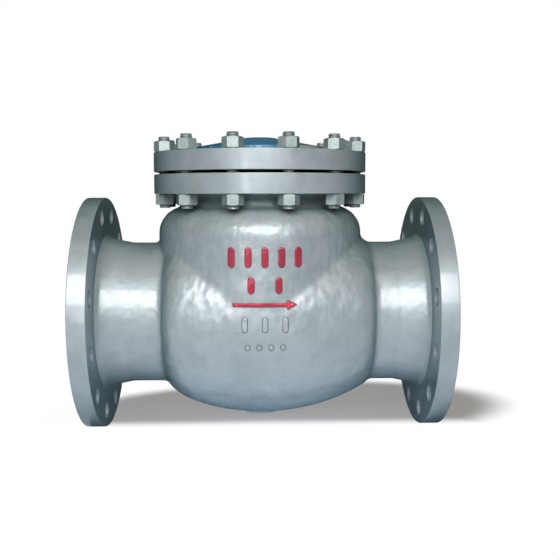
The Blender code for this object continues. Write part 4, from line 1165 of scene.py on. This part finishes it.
def blue_mask(tree, place):
    """1 where the blue paint lies; the brush left its edges uneven."""
    along = split_up(tree, place)
    across = maths(tree, "SUBTRACT", along["X"], BARREL_X)
    squares = maths(tree, "MULTIPLY_ADD", across, across, maths(tree, "MULTIPLY", along["Y"], along["Y"]))
    wobble = maths(tree, "MULTIPLY_ADD", noise_node(tree, place, 70.0, 3.0, 0.6), 0.008, -0.004)
    stroke = maths(tree, "MULTIPLY_ADD", noise_node(tree, place, 22.0, 3.0), 0.040, -0.020)
    radius = maths(tree, "ADD", maths(tree, "SQRT", squares), wobble)
    on_cone = remapped(tree, radius, STEP_RADIUS - 0.001, STEP_RADIUS + 0.0015, 1.0, 0.0)
    end = weighted(tree, (along["X"], 1.0), (wobble, 1.0), (stroke, 1.0))
    to_the_left = remapped(tree, end, *BLUE_END, 1.0, 0.0)
    rim_z = FLOW_Z + BONNET_TOP
    above_rim = remapped(tree, along["Z"], rim_z + 0.0005, rim_z + 0.0015)
    mask = maths(tree, "MULTIPLY", maths(tree, "MULTIPLY", on_cone, to_the_left), above_rim)
    return mask, across


def bonnet_paint():
    """Silver film, with blue paint over most of the cone."""
    material, tree, shader, place, silver, gloss = paint_film("bonnet_paint", PAINT_TONE, PAINT_THIN, 0.3,
                                                              0.42, 0.0002)
    mask, across = blue_mask(tree, place)
    # The blue is made darker towards the left of the cone.
    darker = remapped(tree, across, *BLUE_FADE, 0.55, 0.0)
    patchy = maths(tree, "MULTIPLY_ADD", noise_node(tree, place, 24.0, 3.0), 0.35, darker)
    blue = mixed(tree, patchy, BLUE_LIGHT, BLUE_DARK)
    bare = maths(tree, "SUBTRACT", 1.0, maths(tree, "MULTIPLY", mask, BLUE_COVERS))
    feed(tree, shader.inputs["Base Color"], mixed(tree, mask, silver, blue))
    feed(tree, shader.inputs["Metallic"], maths(tree, "MULTIPLY", bare, PAINT_METALLIC))
    feed(tree, shader.inputs["Coat Weight"], maths(tree, "MULTIPLY", bare, gloss))
    return material


bonnet = plain_object(bonnet_shape(), "bonnet_cover")
stud_holes = rods("Z", STUD_PLACES, BONNET_BASE - PAST, BONNET_TOP + PAST, STUD_HOLE_RADIUS, 24)
combine(bonnet, stud_holes, "DIFFERENCE")
present(bonnet, bonnet_paint(), "housing", ["bonnet"])

GASKET_INNER = TOP_NECK_RADIUS - WALL + 0.001
GASKET_WIDTH = 0.010
gasket = ring(RIM_TOP + SEAT_GAP, BONNET_BASE - SEAT_GAP, GASKET_INNER, GASKET_INNER + GASKET_WIDTH)
piece(turned(gasket, "Z", BARREL_CENTRE, 128), "joint_gasket", FIBRE, "housing",
      ["bonnet_gasket"])

# %% [markdown]
# ## Studs
# Each stud is a real screw thread. The spin operator can climb as it turns: a zigzag line swept
# once round while it rises by one pitch meets its own neighbour, so one turn makes the whole
# thread. Two flat cuts then give it its ends, and its tips are narrowed. Twelve copies of one stud
# make a single object, each turned differently, as studs are when they are screwed in.

# %% Studs
STUD_RADIUS = 0.009
PITCH = 0.0025
THREAD_DEPTH = 0.0013
NUT_ACROSS_FLATS = 0.027
NUT_HEIGHT = 0.0158
STUD_TOP_PROUD = 0.0065
STUD_FOOT_PROUD = 0.005
STUD_TIP = 0.0016
STUD_TURN = 29
STUD_LENGTH = (STUD_FOOT_PROUD + STUD_TOP_PROUD + 2 * NUT_HEIGHT + 2 * SEAT_GAP
               + RIM_THICKNESS + JOINT_GAP + BONNET_RIM)


def threaded_rod(length, radius, pitch, depth, tip, steps=24):
    """A rod with a helical thread, its foot at height 0; the tip is the chamfer at its ends."""
    shape = bmesh.new()
    root = radius - depth
    points = []
    for index in range(int(length / pitch) + 3):
        base = (index - 1.5) * pitch
        for share, out in ((0.0, root), (0.12, root), (0.44, radius), (0.62, radius)):
            points.append(shape.verts.new((out, 0, base + share * pitch)))
    edges = [shape.edges.new(pair) for pair in zip(points, points[1:])]
    bmesh.ops.spin(shape, geom=points + edges, cent=(0, 0, 0), axis=(0, 0, 1), angle=math.tau, steps=steps,
                   dvec=(0, 0, pitch / steps))
    bmesh.ops.remove_doubles(shape, verts=shape.verts, dist=1e-5)
    for height, normal in ((0, -1), (length, 1)):
        bmesh.ops.bisect_plane(shape, geom=shape.verts[:] + shape.edges[:] + shape.faces[:], dist=1e-7,
                               plane_co=(0, 0, height), plane_no=(0, 0, normal), clear_outer=True)
        rim = [edge for edge in shape.edges if edge.is_boundary
               and all(abs(vert.co.z - height) < 1e-5 for vert in edge.verts)]
        bmesh.ops.contextual_create(shape, geom=rim)
    for vert in shape.verts:
        depth_in = min(vert.co.z, length - vert.co.z)
        most = radius - max(0.0, tip - depth_in)
        out = math.hypot(vert.co.x, vert.co.y)
        if out > most:
            vert.co.xy *= most / out
    bmesh.ops.recalc_face_normals(shape, faces=shape.faces)
    return shape


def copies(shape, height, turns, over=0):
    """A bmesh with a copy of a shape on each stud's place, turned about Z, and tipped over by
    degrees about X."""
    pattern = bpy.data.meshes.new("pattern")
    shape.to_mesh(pattern)
    shape.free()
    made = bmesh.new()
    tip = Matrix.Rotation(math.radians(over), 4, "X")
    for place, degrees in zip(STUD_PLACES, turns):
        before = set(made.verts)
        made.from_mesh(pattern)
        fresh = [vert for vert in made.verts if vert not in before]
        move = Matrix.Translation(place + Vector((0, 0, height)))
        turn = Matrix.Rotation(math.radians(degrees), 4, "Z")
        bmesh.ops.transform(made, matrix=move @ turn @ tip, verts=fresh)
    bpy.data.meshes.remove(pattern)
    return made


def numbered(name):
    return [f"{name}_{index + 1:02d}" for index in range(STUD_COUNT)]


stud = threaded_rod(STUD_LENGTH, STUD_RADIUS, PITCH, THREAD_DEPTH, STUD_TIP)
stud_turns = [STUD_TURN * index for index in range(STUD_COUNT)]
studs = copies(stud, RIM_BOTTOM - SEAT_GAP - NUT_HEIGHT - STUD_FOOT_PROUD, stud_turns)
piece(studs, "joint_studs", STUD_FINISH, "housing", numbered("bonnet_stud"), 40)

# %% [markdown]
# ## Nuts
# A nut starts as a cone with six sides and equal ends. Meeting it with a turned shape whose ends
# slope at thirty degrees leaves the curved edges of a real chamfer on its corners, and a turned
# bore with flared ends gives the hole. No two nuts stop at the same angle when they are tightened,
# so each has its own turn, as far as the picture shows it.

# %% Nuts
THREAD_CLEARANCE = 0.0003
UPPER_NUT_TURNS = (24, 48, 32, 9, 39, 27, 37, 15, 31, 43, 20, 34)
LOWER_NUT_TURNS = (42, 22, 55, 35, 13, 50, 1, 18, 29, 30, 7, 45)


def hexagon(across_flats, height):
    """A hexagon prism about Z with a flat towards +X, its lower face at height 0."""
    shape = bmesh.new()
    corner = across_flats / math.sqrt(3)
    bmesh.ops.create_cone(shape, cap_ends=True, segments=6, radius1=corner, radius2=corner, depth=height,
                          matrix=Matrix.Translation((0, 0, height / 2)))
    flats = [face.normal.copy() for face in shape.faces if abs(face.normal.z) < 0.5]
    nearest = max(flats, key=lambda normal: normal.x)
    bmesh.ops.rotate(shape, verts=shape.verts, cent=(0, 0, 0),
                     matrix=Matrix.Rotation(-math.atan2(nearest.y, nearest.x), 3, "Z"))
    return shape


def nut_shape(across_flats, height, hole_radius):
    """A chamfered hexagon nut about Z, its seating face at height 0."""
    nut = plain_object(hexagon(across_flats, height), "nut")
    corner = across_flats / math.sqrt(3) + 0.001
    land = across_flats / 2 * 0.96
    drop = (corner - land) * math.tan(math.radians(30))
    outline = [(0, 0), (0, land), (drop * 0.6, corner), (height - drop, corner), (height, land), (height, 0)]
    combine(nut, turned(outline, "Z", (0, 0, 0), 72), "INTERSECT")
    flare, inner = hole_radius + 0.0012, hole_radius - 0.0002
    bore = [(-0.001, 0), (-0.001, flare), (0.0011, inner), (height - 0.0011, inner),
            (height + 0.001, flare), (height + 0.001, 0)]
    combine(nut, turned(bore, "Z", (0, 0, 0), 36), "DIFFERENCE")
    return taken(nut)


for label, height, turns, over in (("upper", BONNET_TOP + SEAT_GAP, UPPER_NUT_TURNS, 0),
                                   ("lower", RIM_BOTTOM - SEAT_GAP, LOWER_NUT_TURNS, 180)):
    nut = nut_shape(NUT_ACROSS_FLATS, NUT_HEIGHT, STUD_RADIUS + THREAD_CLEARANCE)
    piece(copies(nut, height, turns, over), f"{label}_nuts", NUT_FINISH, "housing",
          numbered(f"{label}_nut"), 25)

# %% [markdown]
# ## Seat
# The seat is a stainless ring let into the boss round the inlet. Its face is what the disc shuts
# on, so it stands a little proud of the casting.

# %% Seat ring
SEAT_CHAMFER = 0.001
seat = turned(ring(SEAT_BACK_X, SEAT_FACE_X, BORE_RADIUS, SEAT_RING_RADIUS), "X", FLOW_CENTRE, 128)
piece(soften(seat, SEAT_CHAMFER), "seat", TURNED_STAINLESS, "housing", ["seat_ring"])

# %% [markdown]
# ## Disc
# The disc is turned from one piece with its hub and stud, so one outline and one spin make it. Its
# face is relieved in the middle, and only a narrow land touches the seat. A washer and a castle nut
# hold it on its arm. The castle nut is the bonnet's nut at another size, with three slots sawn
# right across its top.

# %% Disc, washer and castle nut
RUNNING_GAP = 0.0003
DISC_RADIUS = 0.109
DISC_RIM = 0.018
DISC_WEB_RISE = 0.004
DISC_RELIEF = 0.002
DISC_HUB_RADIUS = 0.030
DISC_HUB_HEIGHT = 0.031
DISC_HUB_FILLET = 0.006
DISC_STUD_RADIUS = 0.012
DISC_STUD_TAIL = 0.005
DISC_STUD_CLEARANCE = 0.0004
WASHER_RADIUS = 0.022
WASHER_THICKNESS = 0.004
DISC_NUT_FLATS = 0.036
DISC_NUT_HEIGHT = 0.019
ARM_EYE_THICKNESS = 0.024
CASTLE_DEPTH = 0.007
CASTLE_SLOT = 0.0056
CASTLE_ROUND = 0.0006
ALONG_FLOW = Matrix.Rotation(math.radians(90), 4, "Y")
SPLIT_HOLE_RADIUS = 0.0025
DISC_FACE_X = SEAT_FACE_X + SEAT_GAP
ARM_BACK_X = DISC_FACE_X + DISC_HUB_HEIGHT + RUNNING_GAP
WASHER_X = ARM_BACK_X + ARM_EYE_THICKNESS + RUNNING_GAP
DISC_NUT_X = WASHER_X + WASHER_THICKNESS + SEAT_GAP
CASTLE_X = DISC_NUT_X + DISC_NUT_HEIGHT - CASTLE_DEPTH
SPLIT_X = CASTLE_X + SPLIT_HOLE_RADIUS + SEAT_GAP


def disc_object():
    """Disc, hub and stud in one, with the split pin's hole."""
    rim = DISC_FACE_X + DISC_RIM
    hub = DISC_FACE_X + DISC_HUB_HEIGHT
    end = DISC_NUT_X + DISC_NUT_HEIGHT + DISC_STUD_TAIL
    land = BORE_RADIUS - DISC_RELIEF
    fillet = arc((rim + DISC_WEB_RISE + DISC_HUB_FILLET, DISC_HUB_RADIUS + DISC_HUB_FILLET), DISC_HUB_FILLET,
                 DISC_HUB_FILLET, 180, 270, 6)
    outline = [(DISC_FACE_X + DISC_RELIEF, 0), (DISC_FACE_X + DISC_RELIEF, land - DISC_RELIEF),
               (DISC_FACE_X, land), (DISC_FACE_X, DISC_RADIUS), (rim, DISC_RADIUS), *fillet,
               (hub, DISC_HUB_RADIUS), (hub, DISC_STUD_RADIUS), (end, DISC_STUD_RADIUS), (end, 0)]
    closer = plain_object(soften(turned(outline, "X", FLOW_CENTRE, 144), SMALL_ROUND), "closing_disc")
    hole = rods("Y", [(SPLIT_X, 0, FLOW_Z)], -0.03, 0.03, SPLIT_HOLE_RADIUS, 24)
    return combine(closer, hole, "DIFFERENCE")


def castle_nut():
    """A nut along the flow, with three slots across its downstream end."""
    hexagonal = nut_shape(DISC_NUT_FLATS, DISC_NUT_HEIGHT, DISC_STUD_RADIUS + DISC_STUD_CLEARANCE)
    nut = plain_object(hexagonal, "castle_nut")
    nut.data.transform(Matrix.Translation((DISC_NUT_X, 0, FLOW_Z)) @ ALONG_FLOW)
    low = (CASTLE_X, -0.03, -CASTLE_SLOT / 2)
    high = (DISC_NUT_X + DISC_NUT_HEIGHT + PAST, 0.03, CASTLE_SLOT / 2)
    for index in range(3):
        slot = soften(block(low, high), CASTLE_ROUND)
        bmesh.ops.rotate(slot, verts=slot.verts, cent=(0, 0, 0),
                         matrix=Matrix.Rotation(math.radians(60 * index), 3, "X"))
        bmesh.ops.translate(slot, verts=slot.verts, vec=FLOW_CENTRE)
        combine(nut, slot, "DIFFERENCE")
    return nut


def washer_shape(start, thickness, inner, outer, axis, centre, steps=64, edge=0.0004):
    outline = ring(start, start + thickness, inner, outer)
    return soften(turned(outline, axis, centre, steps), edge)


present(disc_object(), TURNED_STAINLESS, "closer", ["disc"])
washer = washer_shape(WASHER_X, WASHER_THICKNESS, DISC_STUD_RADIUS + DISC_STUD_CLEARANCE, WASHER_RADIUS,
                      "X", FLOW_CENTRE)
piece(washer, "stud_washer", STAINLESS, "closer", ["disc_washer"])
present(castle_nut(), STAINLESS, "closer", ["disc_nut"], 25)

# %% [markdown]
# ## Split pin
# A split pin is a wire bent double, with an eye at one end and its two tips bent apart at the
# other. A curve with a bevel is the quickest wire. It is made a mesh before its place is final,
# because a finished piece keeps its place in its mesh.

# %% Split pin
WIRE_RADIUS = 0.001
PIN_EYE_RADIUS = 0.0036


def split_pin_shape():
    """The pin across the stud, through two slots of the castle nut."""
    wire = WIRE_RADIUS
    leg = wire + SEAT_GAP / 2
    reach = DISC_NUT_FLATS / math.sqrt(3)
    opening = math.degrees(math.asin(leg / PIN_EYE_RADIUS))
    tip = [(reach + 0.0025, leg + 0.005), (reach + wire, leg + wire), (reach - wire, leg)]
    eye = arc((-reach - PIN_EYE_RADIUS, 0), PIN_EYE_RADIUS, PIN_EYE_RADIUS, opening, 360 - opening, 20)
    path = tip + eye + [(y, -z) for y, z in reversed(tip)]
    curve = bpy.data.curves.new("pin_wire", "CURVE")
    curve.dimensions = "3D"
    curve.bevel_depth = wire
    curve.bevel_resolution = 3
    curve.use_fill_caps = True
    line = curve.splines.new("POLY")
    line.points.add(len(path) - 1)
    for point, (y, z) in zip(line.points, path):
        point.co = (SPLIT_X, y, FLOW_Z + z, 1)
    bent = bpy.data.objects.new("pin_wire", curve)
    scene.collection.objects.link(bent)
    bpy.context.view_layer.update()
    shape = bmesh.new()
    shape.from_mesh(bpy.data.meshes.new_from_object(bent))
    bpy.data.objects.remove(bent)
    bmesh.ops.remove_doubles(shape, verts=shape.verts, dist=MERGE)
    bmesh.ops.recalc_face_normals(shape, faces=shape.faces)
    return shape


piece(split_pin_shape(), "bent_pin", STAINLESS, "closer", ["split_pin"], 50)

# %% [markdown]
# ## Hinge arm
# The disc hangs from a forged arm on a pin between the two ears of a yoke. The arm's side view is
# drawn once and extruded, its hub and its eye are turned, and both holes are drilled last. Forged
# pieces have no sharp edges, so each shape is rounded before it is joined.

# %% Sizes of the hinge
PIN_RADIUS = 0.009
EYE_RADIUS = 0.015
EAR_GAP = 0.040
EAR_THICKNESS = 0.012
EAR_OUTER = EAR_GAP / 2 + EAR_THICKNESS
PIN_Z = FLOW_Z + HINGE_HEIGHT
PIN_CENTRE = (HINGE_X, 0, PIN_Z)
ARM_WIDTH = 0.034
ARM_THICKNESS = 0.0185
ARM_EYE_RADIUS = 0.027
ARM_SIDE_GAP = 0.0005
FORGED_ROUND = 0.0022
print("hinge pin at", tuple(round(value, 4) for value in PIN_CENTRE))


# %% Hinge arm
def arm_object():
    """The arm from the pin down to the eye that carries the disc."""
    near = EYE_RADIUS * math.sin(math.radians(47))
    front = ARM_BACK_X + ARM_THICKNESS
    shoulder_z = PIN_Z - 0.020
    side = [(HINGE_X, PIN_Z - 0.005), (HINGE_X + near, PIN_Z - near), (ARM_BACK_X, shoulder_z - 0.004),
            (ARM_BACK_X, FLOW_Z), (front, FLOW_Z), (front, shoulder_z), (HINGE_X + near, PIN_Z + near),
            (HINGE_X, PIN_Z + 0.005)]
    bar = soften(extruded(side, -ARM_WIDTH / 2, ARM_WIDTH / 2), FORGED_ROUND * 1.3, 4)
    arm = plain_object(bar, "forged_arm")
    half = EAR_GAP / 2 - ARM_SIDE_GAP
    hub = turned(ring(-half, half, 0, EYE_RADIUS), "Y", PIN_CENTRE, 64)
    combine(arm, soften(hub, SMALL_ROUND), "UNION")
    end = ARM_BACK_X + ARM_EYE_THICKNESS
    eye = turned(ring(ARM_BACK_X, end, 0, ARM_EYE_RADIUS), "X", FLOW_CENTRE, 96)
    combine(arm, soften(eye, FORGED_ROUND), "UNION")
    pin_hole = rods("Y", [PIN_CENTRE], -half - PAST, half + PAST, PIN_RADIUS + RUNNING_GAP, 48)
    combine(arm, pin_hole, "DIFFERENCE")
    stud_hole = rods("X", [FLOW_CENTRE], ARM_BACK_X - PAST, end + PAST, DISC_STUD_RADIUS + RUNNING_GAP, 48)
    return combine(arm, stud_hole, "DIFFERENCE")


present(arm_object(), FORGED, "arm", ["hinge_arm"])

# %% [markdown]
# ## Yoke
# The yoke is screwed to a ledge in the casting, and its bridge stops the arm when the valve stands
# open. It is put together from a bridge, two ears and two feet. Where two shapes meet, one is drawn
# a millimetre smaller, because a Boolean goes wrong on faces that lie in the same plane.

# %% Yoke
INSET = 0.001
SCREW_RADIUS = 0.006
SCREW_CLEARANCE = 0.0004
SCREW_PLACES = [(BULKHEAD_X, side * (EAR_OUTER + 0.019), PIN_Z + 0.003) for side in (-1, 1)]
YOKE_PLATE = 0.010
YOKE_FOOT_WIDTH = 0.032
YOKE_FOOT = (PIN_Z - 0.009, PIN_Z + 0.021)
BRIDGE = (PIN_Z + 0.0185, PIN_Z + 0.0295)
BRIDGE_FRONT_X = HINGE_X + 0.0165


def yoke_object():
    """Bridge, ears and feet, with the holes for the pin and the screws."""
    back = BULKHEAD_X + SEAT_GAP
    low_z, high_z = BRIDGE
    front = BRIDGE_FRONT_X - INSET
    ear = [(back + INSET, YOKE_FOOT[0] + INSET), *arc((HINGE_X, PIN_Z), EYE_RADIUS, EYE_RADIUS, -135, 45, 24),
           (front, low_z + INSET), (front, high_z - INSET), (back + INSET, high_z - INSET)]
    bridge = block((back, -EAR_OUTER, low_z), (BRIDGE_FRONT_X, EAR_OUTER, high_z))
    yoke = plain_object(soften(bridge, SMALL_ROUND), "forged_yoke")
    for side in (-1, 1):
        low, high = sorted((side * EAR_GAP / 2, side * EAR_OUTER))
        combine(yoke, soften(extruded(ear, low, high), SMALL_ROUND), "UNION", coplanar=True)
        low, high = sorted((side * (EAR_OUTER - EAR_THICKNESS / 2), side * (EAR_OUTER + YOKE_FOOT_WIDTH)))
        foot = block((back, low, YOKE_FOOT[0]), (back + YOKE_PLATE, high, YOKE_FOOT[1]))
        combine(yoke, soften(foot, SMALL_ROUND), "UNION", coplanar=True)
    combine(yoke, rods("Y", [PIN_CENTRE], -0.06, 0.06, PIN_RADIUS + SEAT_GAP, 48), "DIFFERENCE")
    combine(yoke, rods("X", SCREW_PLACES, -0.01, 0.03, SCREW_RADIUS + SCREW_CLEARANCE, 32), "DIFFERENCE")
    return yoke


present(yoke_object(), FORGED, "housing", ["hinge_bracket"])

# %% [markdown]
# ## Hinge pin
# The pin has a head at one end and a groove at the other, where a spring clip keeps it in the yoke.
# The clip is a thin ring with a mouth cut into it, so that it can be pushed on from the side.

# %% Hinge pin and its clip
PIN_LIP = 0.0035
PIN_HEAD = 0.004
PIN_TAIL = 0.003
CLIP_THICKNESS = 0.0015
CLIP_GROOVE = 0.001
CLIP_MOUTH = 0.007
GROOVE_RADIUS = PIN_RADIUS - CLIP_GROOVE
LIP_RADIUS = PIN_RADIUS + PIN_LIP


def pin_shape():
    head = -EAR_OUTER - SEAT_GAP
    groove = EAR_OUTER
    groove_end = groove + CLIP_THICKNESS + 3 * SEAT_GAP
    end = groove_end + PIN_TAIL
    outline = [(head - PIN_HEAD, 0), (head - PIN_HEAD, LIP_RADIUS), (head, LIP_RADIUS), (head, PIN_RADIUS),
               (groove, PIN_RADIUS), (groove, GROOVE_RADIUS), (groove_end, GROOVE_RADIUS),
               (groove_end, PIN_RADIUS), (end, PIN_RADIUS), (end, 0)]
    return soften(turned(outline, "Y", PIN_CENTRE, 64), 0.0003, 2)


def clip_object():
    start = EAR_OUTER + SEAT_GAP
    full = washer_shape(start, CLIP_THICKNESS, GROOVE_RADIUS + SEAT_GAP, LIP_RADIUS, "Y", PIN_CENTRE,
                        edge=0.0002)
    mouth = block((HINGE_X - CLIP_MOUTH / 2, start - PAST, PIN_Z),
                  (HINGE_X + CLIP_MOUTH / 2, start + PAST, PIN_Z + 0.03))
    return combine(plain_object(full, "spring_clip"), mouth, "DIFFERENCE")


piece(pin_shape(), "turned_pin", STAINLESS, "housing", ["hinge_pin"])
present(clip_object(), STAINLESS, "housing", ["hinge_pin_clip"])

# %% [markdown]
# ## Yoke screws
# Two hexagon screws on washers hold the yoke. The shank ends inside the casting, where no thread
# shows, so it stays plain.

# %% Yoke screws
SCREW_FLATS = 0.018
SCREW_HEAD = 0.0075
SCREW_DEPTH = 0.022
HEAD_OVERLAP = 0.0012
SCREW_WASHER = 0.0025
SCREW_WASHER_RADIUS = 0.0115
WASHER_START = SEAT_GAP + YOKE_PLATE + SEAT_GAP
HEAD_START = WASHER_START + SCREW_WASHER + SEAT_GAP


def screw_object(place, name):
    x, y, z = place
    shank = turned(ring(-SCREW_DEPTH, HEAD_START + HEAD_OVERLAP, 0, SCREW_RADIUS), "X", place, 32)
    screw = plain_object(soften(shank, 0.0008), name)
    head = soften(hexagon(SCREW_FLATS, SCREW_HEAD), 0.0006, 2)
    move = Matrix.Translation((x + HEAD_START, y, z)) @ ALONG_FLOW
    bmesh.ops.transform(head, matrix=move, verts=head.verts)
    return combine(screw, head, "UNION")


for place, label in zip(SCREW_PLACES, ("left", "right")):
    present(screw_object(place, f"yoke_screw_{label}"), STAINLESS, "housing",
            [f"bracket_bolt_{label}"], 25)
    washer = washer_shape(WASHER_START, SCREW_WASHER, SCREW_RADIUS + SCREW_CLEARANCE, SCREW_WASHER_RADIUS,
                          "X", place, 48)
    piece(washer, f"yoke_washer_{label}", STAINLESS, "housing", [f"bracket_washer_{label}"])
